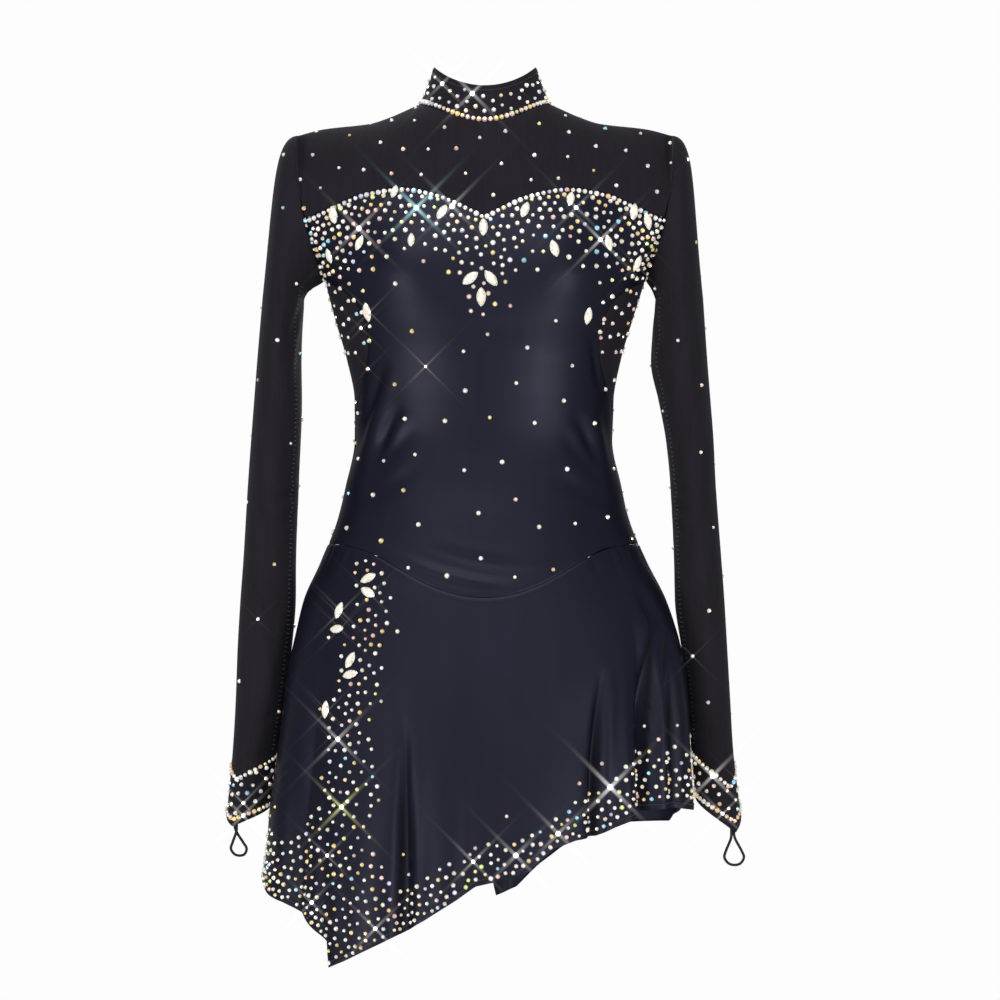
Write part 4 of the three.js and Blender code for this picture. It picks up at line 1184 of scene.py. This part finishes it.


# Round stones: a flat back, one row of leaning facets and a flat table turned by half a facet. Each has its
# own size, tint and brightness, and the ones nearest to a painted glint get a glowing tint far brighter than
# white.
def roundStones(name, groups, seed):
    random = np.random.default_rng(seed)
    place = np.concatenate([g["at"][0] for g in groups])
    normal = np.concatenate([g["at"][1] for g in groups])
    size = np.concatenate([np.full(len(g["at"][0]), g.get("size", roundStone["size"])) for g in groups])
    colour = np.concatenate([
        tints[random.choice(len(tints), len(g["at"][0]), p=mixes[g["mix"]])] for g in groups
    ])
    colour = colour * random.uniform(roundStone["dim"], 1.0, (len(place), 1))
    size = size * (1 + roundStone["vary"] * random.uniform(-1, 1, len(size)))
    away = np.hypot(place[:, None, 0] - paintedGlints[:, 0], place[:, None, 2] - paintedGlints[:, 1])
    away = np.where(normal[:, None, 1] < 0, away, 1e6)
    nearest = away.argmin(axis=0)
    glinting = away.min(axis=0) < roundStone["catch"]
    # painted glint: the chosen stone's tint is raised many times above white, so that it glows
    colour[nearest[glinting]] = paintedGlints[glinting, 3:] * paintedGlints[glinting, 2:3] * roundStone["flash"]
    size[nearest[glinting]] *= roundStone["flashSize"]
    sides = roundStone["sides"]
    turn = np.arange(sides) * 360 / sides
    low = np.column_stack([cosine(turn) / 2, sine(turn) / 2, np.full(sides, -roundStone["sunk"])])
    half = turn + 180 / sides
    high = roundStone["high"] / roundStone["table"]
    top = np.column_stack([cosine(half), sine(half), np.full(sides, high)])
    i = np.arange(sides)
    n = (i + 1) % sides
    faces = [i[None, ::-1], sides + i[None], np.stack([i, n, sides + i], axis=-1),
             np.stack([n, sides + n, sides + i], axis=-1)]
    # painted light: the random share of light for each kind of facet
    paintedFacetLight = [(0.2, 0.3), (0.9, 1.2), (0.4, 1.05), (0.5, 1.15)]
    shape = np.concatenate([low, top * roundStone["table"]])
    piece = stoneMesh(name, shape, faces, paintedFacetLight, place, spun(normal, seed), size, colour, seed)
    print("  {:18s} {} stones, {} flash".format(name, len(place), glinting.sum()))
    return piece


# Large pointed stones by place across and up the front, the lean of their long axis, and their size.
marquise = {
    "long": 18.5, "wide": 9.4, "high": 3.2, "rim": 0.7, "sides": 16, "lift": 0.5, "foot": 0.92, "belt": 0.8,
    "beltUp": 0.62, "table": 0.5, "clear": 6.6, "clearAt": (-5.5, 0.0, 5.5),
}
largeStones = np.array([
    [-140, -99, -20, 0.95],
    [-83, -79, 12, 0.72],
    [-39, -99, 30, 0.85],
    [-1, -113, 0, 0.9],
    [-67, -125, 0, 0.72],
    [-115, -126, 30, 0.82],
    [-144, -136, -12, 0.8],
    [-108, -189, 0, 1],
    [-13, -160, 52, 0.95],
    [6, -160, -38, 0.95],
    [-3, -177, 0, 0.95],
    [37, -97, 20, 0.85],
    [79, -86, 15, 0.8],
    [64, -133, -14, 0.9],
    [138, -96, 15, 0.9],
    [151, -104, -15, 0.9],
    [114, -126, -15, 0.85],
    [141, -143, 30, 0.9],
    [95, -193, 0, 0.9],
    [-107, -435, 70, 0.9],
    [-107, -448, -60, 0.9],
    [-134, -465, 20, 0.9],
    [-136, -482, 90, 0.85],
    [-123, -510, 30, 0.9],
    [-123, -523, 80, 0.85],
    [-146, -556, 0, 0.9],
])


tiny = 1e-4  # a step for slopes
spotSearch = {"reach": 175, "most": 0.95, "steps": 12}


# Where a surface is met by lines straight back through (x, z): Newton's steps on its two parameters.
def spotsOn(surface, x, z, level):
    side = np.clip(x / spotSearch["reach"], -spotSearch["most"], spotSearch["most"])
    u, v = np.degrees(np.arcsin(side)), np.full(len(x), level)
    for _ in range(spotSearch["steps"]):
        here = surface(u, v)
        du, dv = surface(u + tiny, v) - here, surface(u, v + tiny) - here
        size = (du[:, 0] * dv[:, 2] - dv[:, 0] * du[:, 2]) / tiny
        ex, ez = x - here[:, 0], z - here[:, 2]
        u = u + (ex * dv[:, 2] - ez * dv[:, 0]) / size
        v = v + (ez * du[:, 0] - ex * du[:, 2]) / size
    here = surface(u, v)
    normal = unit(np.cross(surface(u + tiny, v) - here, surface(u, v + tiny) - here))
    return here, normal * np.where(normal[:, 1:2] < 0, 1, -1)


# A pointed oval: flat back, thin rim, two rows of facets turned against each other, and a flat table. It
# returns the places with the distance that small stones keep from them.
def marquiseStones(name, rows, surface, level, seed):
    chosen = largeStones[rows]
    place, normal = spotsOn(surface, chosen[:, 0], chosen[:, 1], level)
    lean = chosen[:, 2]
    longAxis = np.column_stack([sine(lean), 0 * lean, cosine(lean)])
    side = unit(np.cross(longAxis, normal))
    along = unit(np.cross(normal, side))
    sides = marquise["sides"]

    def ring(scale, z, shift):
        turn = (np.arange(sides) + shift) * 360 / sides
        x = marquise["wide"] / 2 * sine(turn) * np.abs(sine(turn)) ** 0.5
        return np.column_stack([x * scale, marquise["long"] / 2 * cosine(turn) * scale, np.full(sides, z)])

    middle = marquise["rim"] + (marquise["high"] - marquise["rim"]) * marquise["beltUp"]
    shape = np.concatenate([
        ring(marquise["foot"], 0, 0), ring(1, marquise["rim"], 0), ring(marquise["belt"], middle, 0.5),
        ring(marquise["table"], marquise["high"], 0),
    ])
    i = np.arange(sides)
    n = (i + 1) % sides
    faces = [i[None], 3 * sides + i[None, ::-1], np.stack([i, sides + i, sides + n, n], axis=-1),
             np.stack([sides + i, 2 * sides + i, sides + n], axis=-1),
             np.stack([sides + n, 2 * sides + i, 2 * sides + n], axis=-1),
             np.stack([2 * sides + i, 3 * sides + i, 3 * sides + n], axis=-1),
             np.stack([2 * sides + i, 3 * sides + n, 2 * sides + n], axis=-1)]
    # painted light: the random share of light for each kind of facet
    paintedFacetLight = [(0.2, 0.3), (0.8, 1.0), (0.4, 0.7), (0.35, 1.0), (0.45, 1.1), (0.5, 1.0), (0.55, 1.15)]
    random = np.random.default_rng(seed)
    colour = np.array([1.0, 0.94, 0.78]) * random.uniform(0.85, 1.0, (len(chosen), 1))
    place = place + normal * marquise["lift"]
    piece = stoneMesh(name, shape, faces, paintedFacetLight, place, (side, along, normal), chosen[:, 3], colour, seed)
    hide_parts(*["stone_{:02d}".format(row + 1) for row in rows])
    clear = np.full(len(place), marquise["clear"])
    return np.concatenate([np.column_stack([place + along * step, clear]) for step in marquise["clearAt"]])


bodiceLarge = marquiseStones("bodiceLargeStones", np.arange(19), bodyPoint, 0.9, 11)
skirtLarge = marquiseStones("skirtLargeStones", np.arange(19, 26), skirtPoint, 0.1, 12)

none = 1e6  # a spacing that leaves the cloth bare


# A spacing that opens evenly with a share, and fast past a point where the stones thin out.
def thinning(field, share):
    past = np.maximum(0, share - field["thinFrom"]) ** field.get("power", 1)
    return field["gap"] + field["opening"] * share + field["thinning"] * past


# Spacing below the sweetheart: close under the row, opening downwards, deepest at the centre and at the two
# outer ends, with a group below each end; wide and even on the rest of the bodice.
bodiceField = {
    "gap": 6.4, "opening": 1.6, "thinning": 14, "thinFrom": 0.72, "power": 1.4, "reach": 1.3, "rim": 5.4,
    "deep": 58, "middleDeep": 34, "middleWide": 27, "endDeep": 22, "endAt": 132, "endWide": 26, "foot": 5,
    "endGap": 5.9, "endFrom": 128, "endTo": 142, "endBottom": -138,
    "groupGap": 11.5, "groupTop": -150, "groupBottom": -222, "evenGap": 33.0,
}


def bodiceSpacing(place, fromTop, fromHem):
    field = bodiceField
    x, z = np.abs(place[..., 0]), place[..., 2]
    deep = field["deep"] + field["middleDeep"] * bell(x / field["middleWide"])
    deep = deep + field["endDeep"] * bell((x - field["endAt"]) / field["endWide"])
    share = fromTop / deep
    atEnd = fade(field["endFrom"], field["endTo"], x) * (z > field["endBottom"])
    spread = np.where(share < field["reach"], lerp(thinning(field, share), field["endGap"], atEnd), none)
    group = (np.abs(x - field["endAt"]) < field["endWide"]) & (z < field["groupTop"])
    group = group & (z > field["groupBottom"])
    spread = np.where(group, np.minimum(spread, field["groupGap"]), spread)
    bare = (fromTop < field["rim"]) | (fromHem < field["foot"])
    return np.where(bare, none, np.minimum(spread, field["evenGap"]))


# Spacing on the skirt front: a column of stones that wanders down the wearer's right side, and a band along
# the hem, each with a few strays beside it.
columnField = {"gap": 7.3, "opening": 1.2, "thinning": 22, "thinFrom": 1, "reach": 1.9, "top": -416}
hemField = {"gap": 5.7, "opening": 1.9, "thinning": 22, "thinFrom": 0.95, "reach": 1.75, "rim": 5}


def skirtSpacing(place, fromTop, fromHem):
    x, z = place[..., 0], place[..., 2]
    away = np.abs(x - columnPath["middle"](z)) / columnPath["half"](z)
    outside = (z > columnField["top"]) | (away > columnField["reach"])
    column = np.where(outside, none, thinning(columnField, away))
    share = fromHem / hemBandHigh(x)
    band = np.where(share > hemField["reach"], none, thinning(hemField, share))
    bare = (fromHem < stoneHem(x)) | (fromTop < hemField["rim"])
    return np.where(bare, none, np.minimum(column, band))


columnPath = columnsOf(
    ["z", "middle", "half"],
    [
        [-410, -98, 14], [-431, -105, 17], [-454, -99, 15], [-490, -111, 20], [-527, -114, 20],
        [-563, -124, 19], [-599, -124, 21], [-636, -125, 25], [-662, -138, 30], [-690, -144, 46],
        [-727, -126, 52], [-790, -126, 60],
    ],
)
hemBandHigh = smoothCurve([
    [-215, 44], [-170, 50], [-110, 46], [-60, 38], [0, 36], [45, 30], [80, 34], [120, 44], [150, 56],
    [175, 50], [200, 40],
])
stoneHem = smoothCurve([[-215, 3.5], [110, 3.5], [131, 9], [200, 10]])


# The band on the skirt's back follows its hem at a height that waves a little.
backBand = {"gap": 6.3, "opening": 1.8, "thinning": 26, "thinFrom": 0.92, "reach": 1.7, "foot": 3.8,
            "high": 34, "wave": 8, "turns": 2.1, "shift": 40}


def backHemSpacing(place, fromTop, fromHem):
    wave = backBand["wave"] * sine(place[..., 0] * backBand["turns"] + backBand["shift"])
    share = fromHem / (backBand["high"] + wave)
    outside = (share > backBand["reach"]) | (fromHem < backBand["foot"])
    return np.where(outside, none, thinning(backBand, share))


# Spacing on the mesh back: a group that comes forward below each arm, then wide and even.
backField = {"gap": 31.0, "rim": 7, "foot": 6, "groupGap": 12.5, "groupBack": 14, "groupTop": -158,
             "groupBottom": -226, "groupFrom": 96}


def backSpacing(place, fromTop, fromHem):
    field = backField
    x, y, z = np.abs(place[..., 0]), place[..., 1], place[..., 2]
    group = (y < field["groupBack"]) & (z < field["groupTop"]) & (z > field["groupBottom"])
    group = group & (x > field["groupFrom"])
    bare = (fromTop < field["rim"]) | (fromHem < field["foot"])
    return np.where(bare, none, np.where(group, field["groupGap"], field["gap"]))


# One spacing everywhere but along the top edge and the hem.
def evenSpacing(gap, rim):
    def spacing(place, fromTop, fromHem):
        return np.where((fromTop < rim) | (fromHem < rim), none, gap + 0 * fromTop)

    return spacing


# A row round the cuff at a height that follows its point, from just off the sleeve's own surface.
def cuffRow(side, tip, rise, pitch):
    sleeve = sleeves[side]
    turn = np.linspace(0, 360, 721)
    points = sleeveRing(sleeve, turn, tip + rise * fromCuffTip(turn))
    middle = [sleeve["sign"] * np.mean(np.abs(points[:, 0])), float(sleeve["table"]["y"](tip)), 0]
    normals = unit((points - np.array(middle)) * [1 / 19**2, 1 / 30**2, 0])
    return paced((points, normals), pitch, 0, 1 - pitch / 330)


# The cuff's two rows, by the height of their lowest place and how far they rise behind it.
cuffRows = {
    "right": {"upper": (-628, 26), "lower": (-666, 17), "lowest": -664},
    "left": {"upper": (-636, 38), "lower": (-668, 30), "lowest": -666},
}


# Spacing on a sleeve: close between the cuff's two rows, bare below them, and wide above.
sleeveField = {"x": 226, "y": 22, "narrow": 1.5, "gap": 9.0, "under": 5, "over": 4.5, "above": 14, "rim": 12,
               "evenGap": 46.0}


def sleeveSpacing(side):
    field, rows, sign = sleeveField, cuffRows[side], sleeves[side]["sign"]

    def spacing(place, fromTop, fromHem):
        outwards = (place[..., 0] - sign * field["x"]) * sign * field["narrow"]
        turn = np.degrees(np.arctan2(field["y"] - place[..., 1], outwards))
        high, low = [rows[k][0] + rows[k][1] * fromCuffTip(turn) for k in ("upper", "lower")]
        z = place[..., 2]
        between = (z < high - field["under"]) & (z > low + field["over"])
        wide = (z > high + field["above"]) & (fromTop > field["rim"])
        return np.where(between, field["gap"], np.where(wide, field["evenGap"], none))

    return spacing


def makeStones():
    bodice = panels["bodice"]
    row = paced(lineAt(bodice, 3.0, "top"), 5.7, 0.004, 0.996)
    field = strewn(bodice, bodiceSpacing, 20000, 21, bodiceLarge)
    roundStones("bodiceStones", [{"at": row, "mix": "cool", "size": 4.8}, {"at": field, "mix": "warm"}], 31)

    skirt = panels["skirtFront"]
    field = strewn(skirt, skirtSpacing, 30000, 22, skirtLarge)
    roundStones("skirtFrontStones", [{"at": field, "mix": "warm", "size": 4.0}], 32)
    field = strewn(panels["skirtBack"], backHemSpacing, 16000, 25)
    roundStones("skirtBackStones", [{"at": field, "mix": "warm", "size": 4.0}], 35)

    yoke = strewn(panels["yoke"], evenSpacing(24, 8), 4000, 23)
    roundStones("yokeStones", [{"at": yoke, "mix": "cool", "size": 4.0}], 33)
    back = [{"at": strewn(panels[name], backSpacing, 3000, 26), "mix": "cool", "size": 4.0}
            for name in ("backRight", "backLeft")]
    low = {"at": strewn(panels["lowBack"], evenSpacing(31, 8), 2000, 27), "mix": "warm", "size": 4.2}
    roundStones("backStones", [*back, low], 36)

    collar = panels["collar"]
    place, normal = paced(lineAt(collar, 2.8, "top"), 5.4, 0.003, 0.997)
    front = (np.abs(place[:, 0]) < 44) & (place[:, 1] < 0)
    rows = [{"at": (place[part], normal[part]), "mix": mix, "size": 5.0}
            for part, mix in ((front, "golden"), (~front, "cool"))]
    field = strewn(collar, evenSpacing(8.6, 6.2), 6000, 24)
    roundStones("collarStones", [*rows, {"at": field, "mix": "cool", "size": 4.3}], 34)

    for k, side in enumerate(sleeves):
        sleeve = panels["sleeve" + side.title()]
        rows = [{"at": cuffRow(side, *cuffRows[side][row], 5.6), "mix": mix, "size": 4.8}
                for row, mix in (("upper", "warm"), ("lower", "golden"))]
        field = strewn(sleeve, sleeveSpacing(side), 6000, 28 + k)
        roundStones("sleeveStones" + side.title(), [*rows, {"at": field, "mix": "cool", "size": 4.2}], 37 + k)


makeStones()

print("sewing")


# Many short round threads as one mesh: a ring of corners round every point of every line, square to its way,
# and a flat cap at each end. Lines has one row of points for each thread.
def threads(name, lines, normals, radius, sides, slot):
    way = unit(np.gradient(lines, axis=1))
    side = unit(np.cross(way, normals[:, None]))
    up = np.cross(side, way)
    turn = np.arange(sides)[:, None] * 360 / sides
    ring = side[:, :, None] * cosine(turn) + up[:, :, None] * sine(turn)
    points = lines[:, :, None] + ring * radius
    index = np.arange(points[..., 0].size).reshape(points.shape[:3])
    after = np.roll(index, -1, axis=2)
    quads = np.stack([index[:, :-1], index[:, 1:], after[:, 1:], after[:, :-1]], axis=-1).reshape(-1, 4)
    caps = np.concatenate([index[:, 0], index[:, -1, ::-1]])
    piece = meshObject(name, points.reshape(-1, 3), [quads, caps], finishes["thread"])
    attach(piece, "root")
    print("  {:18s} {} threads".format(name, len(lines)))


# A row of stitches along a line on the cloth: each thread rises out of the cloth and dips back into it.
def stitchRow(line, pitch):
    place, normal = paced(line, pitch)
    share = np.array([0.06, 0.22, 0.5, 0.78, 0.94])[:, None]
    rise = np.array([-0.2, 0.18, 0.3, 0.18, -0.2])[:, None]
    return lerp(place[:-1, None], place[1:, None], share) + normal[:-1, None] * rise, normal[:-1]


# The flat seam under the arm: bars across it at an even pitch, from the armhole down to the cuff.
def seamBars(side):
    panel, settings = panels["sleeve" + side.title()], seamLadder
    column = int(round((settings["turn"][side] - 180) % 360 / 360 * (panel["points"].shape[1] - 1)))
    run = panel["fromTop"][:, column]
    place, normal = paced((panel["points"][:, column], panel["normals"][:, column]), settings["pitch"],
                          settings["from"] / run[-1], 1 - settings["clear"] / run[-1])
    across = unit(np.cross(normal, unit(np.gradient(place, axis=0))))
    share = np.array([-0.5, -0.3, 0.0, 0.3, 0.5])[:, None] * settings["long"]
    rise = np.array([-0.2, 0.2, 0.34, 0.2, -0.2])[:, None]
    return place[:, None] + across[:, None] * share + normal[:, None] * rise, normal


seamLadder = {"pitch": 4.3, "long": 4.2, "radius": 0.3, "from": 26, "clear": 60,
              "turn": {"right": 146, "left": 150}}
hemStitch = {"pitch": 2.6, "up": 4.8, "radius": 0.17}


def makeSewing():
    for name in ("skirtFront", "skirtBack", "sleeveRight", "sleeveLeft", "collar"):
        lines, normals = stitchRow(lineAt(panels[name], hemStitch["up"], "bottom"), hemStitch["pitch"])
        threads(name + "Stitches", lines, normals, hemStitch["radius"], 5, "elastic")
    for side in sleeves:
        lines, normals = seamBars(side)
        threads("underarmSeam" + side.title(), lines, normals, seamLadder["radius"], 6, "elastic")


makeSewing()

print("buttons")
button = {"radius": 4.5, "high": 3.4, "lift": 0.5, "sides": 28}
buttonLoop = {"radius": 0.55, "clear": 0.6, "up": 0.5, "turns": (115, 245), "steps": 15,
              "run": [[9.0, 1.0, -0.9], [7.0, 1.6, 0.3], [3.0, 3.4, 0.5]]}
buttonProfile = np.array([
    [0.86, 0], [0.97, 0.08], [1, 0.25], [0.96, 0.43], [0.86, 0.62], [0.7, 0.79], [0.5, 0.92], [0.3, 0.97],
    [0.27, 0.9], [0.12, 0.88],
])


# A domed button with a small dimple: its profile is turned round the cloth's normal. Beside it a thread loop
# comes over from the slit's other edge, in two straight runs and an arc round the button.
def makeButton(number, surface, level):
    u, v = np.array([180.0]), np.array([level])
    here = surface(u, v)[0]
    normal = unit(np.cross(surface(u + tiny, v)[0] - here, surface(u, v + tiny)[0] - here))
    normal = normal * np.sign(normal[1])
    foot = here + normal * button["lift"] + [button["radius"] / 2, 0, 0]
    side = unit(np.cross([0, 0, 1], normal))
    along = np.cross(normal, side)
    turn = np.arange(button["sides"])[:, None] * 360 / button["sides"]
    ring = side * cosine(turn) + along * sine(turn)
    profile = buttonProfile * [button["radius"], button["high"]]
    points = foot + ring[None] * profile[:, :1, None] + normal * profile[:, 1, None, None]
    index = np.arange(points[..., 0].size).reshape(points.shape[:2])
    after = np.roll(index, -1, axis=1)
    quads = np.stack([index[:-1], after[:-1], after[1:], index[1:]], axis=-1).reshape(-1, 4)
    name = "backButton" + str(number)
    piece = meshObject(name, points.reshape(-1, 3), [quads, index[:1, ::-1], index[-1:]], finishes["button"])
    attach(piece, "root")
    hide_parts("back_button_" + str(number))
    arc = np.linspace(*buttonLoop["turns"], buttonLoop["steps"])
    reach = button["radius"] + buttonLoop["clear"]
    run = np.array(buttonLoop["run"])
    bend = np.column_stack([cosine(arc) * reach, sine(arc) * reach, 0 * arc + buttonLoop["up"]])
    local = np.concatenate([run, bend, run[::-1] * [1, -1, 1]])
    line = foot + side * local[:, :1] + along * local[:, 1:2] + normal * local[:, 2:]
    threads("buttonLoop" + str(number), line[None], normal[None], buttonLoop["radius"], 8, "elastic")


for number, (surface, level) in enumerate([(collarPoint, 0.76), (collarPoint, 0.26), (bodyPoint, 0.26)], 1):
    makeButton(number, surface, level)

print("stage and lights")
studio = {
    "floorZ": -1450, "floorRadius": 4300, "floorSides": 64, "fadeFrom": 0.5, "fadeTo": 2.2,
    "seen": 0.98, "seenColour": (1, 1, 1, 1), "around": 0.25, "aroundColour": (0.95, 0.97, 1.0, 1),
}


# A pale disc that fades out towards its rim, so that it has no hard edge against the pale surroundings.
def makeFloor():
    sides = studio["floorSides"]
    turn = np.linspace(0, 360, sides + 1)[:-1]
    rim = np.column_stack([sine(turn), cosine(turn), 0 * turn]) * studio["floorRadius"]
    finish = Finish("paleFloor", {
        "Base Color": (0.86, 0.86, 0.86, 1), "Roughness": 0.8, "Specular IOR Level": 0.1,
    })
    place = finish.onObject()
    flat = finish.node("ShaderNodeVectorMath", {"operation": "MULTIPLY"}, {0: place, 1: (1, 1, 0)})
    reach = finish.node("ShaderNodeVectorMath", {"operation": "LENGTH"}, {0: flat}, out="Value")
    kept = finish.node("ShaderNodeMapRange", {"interpolation_type": "SMOOTHSTEP"},
                       {"Value": reach, "From Min": studio["fadeFrom"], "From Max": studio["fadeTo"],
                        "To Min": 1.0, "To Max": 0.0})
    finish.feed(Alpha=kept)
    rim = rim + [0, 0, studio["floorZ"]]
    meshObject("floor", rim, [np.arange(sides)[None, ::-1]], finish.material)


def makeWorld():
    world = bpy.data.worlds.new("paleStudio")
    world.use_nodes = True
    bpy.context.scene.world = world
    tree = world.node_tree
    back = tree.nodes["Background"]
    seen = tree.nodes.new("ShaderNodeBackground")
    mix = tree.nodes.new("ShaderNodeMixShader")
    rays = tree.nodes.new("ShaderNodeLightPath")
    back.inputs["Color"].default_value = studio["aroundColour"]
    back.inputs["Strength"].default_value = studio["around"]
    seen.inputs["Color"].default_value = studio["seenColour"]
    seen.inputs["Strength"].default_value = studio["seen"]
    tree.links.new(rays.outputs["Is Camera Ray"], mix.inputs["Fac"])
    tree.links.new(back.outputs[0], mix.inputs[1])
    tree.links.new(seen.outputs[0], mix.inputs[2])
    tree.links.new(mix.outputs[0], tree.nodes["World Output"].inputs["Surface"])


# Soft square lights: place in metres, aimed at the middle of the dress.
softLights = [
    {"name": "key", "at": (-0.4, -2.4, 1.9), "size": 2.4, "power": 66},
    {"name": "lowLeft", "at": (-1.75, -2.55, -1.2), "size": 0.7, "power": 34},
    {"name": "lowRight", "at": (1.6, -2.65, -1.1), "size": 0.7, "power": 36},
    {"name": "back", "at": (0.4, 3.0, 0.5), "size": 1.1, "power": 34},
    {"name": "backHigh", "at": (-0.9, 2.2, 2.2), "size": 2.0, "power": 34},
]


def makeLights():
    middle = np.array([0, 0, -0.37])
    for light in softLights:
        data = bpy.data.lights.new(light["name"], "AREA")
        data.size = light["size"]
        data.energy = light["power"]
        lamp = bpy.data.objects.new(light["name"], data)
        bpy.context.scene.collection.objects.link(lamp)
        lamp.location = light["at"]
        away = unit(np.array(light["at"]) - middle)
        lamp.rotation_euler = (np.arccos(away[2]), 0, np.arctan2(away[1], away[0]) + np.pi / 2)


# Four-armed glints on whatever is far brighter than the pale surroundings, as a star filter on a lens gives.
def makeGlints():
    scene = bpy.context.scene
    scene.use_nodes = True
    tree = scene.node_tree
    tree.nodes.clear()
    seen, made = tree.nodes.new("CompositorNodeRLayers"), tree.nodes.new("CompositorNodeComposite")
    glare = tree.nodes.new("CompositorNodeGlare")
    glare.glare_type, glare.quality = "STREAKS", "HIGH"
    for name, value in glints.items():
        glare.inputs[name].default_value = value
    tree.links.new(seen.outputs["Image"], glare.inputs["Image"])
    tree.links.new(glare.outputs["Image"], made.inputs["Image"])


glints = {"Threshold": 2.6, "Smoothness": 0.0, "Strength": 0.9, "Streaks": 4, "Streaks Angle": np.pi / 4,
          "Iterations": 4, "Fade": 0.93, "Color Modulation": 0.0}

makeFloor()
makeWorld()
makeLights()
makeGlints()
bpy.context.scene.view_settings.view_transform = "Standard"

print("done")
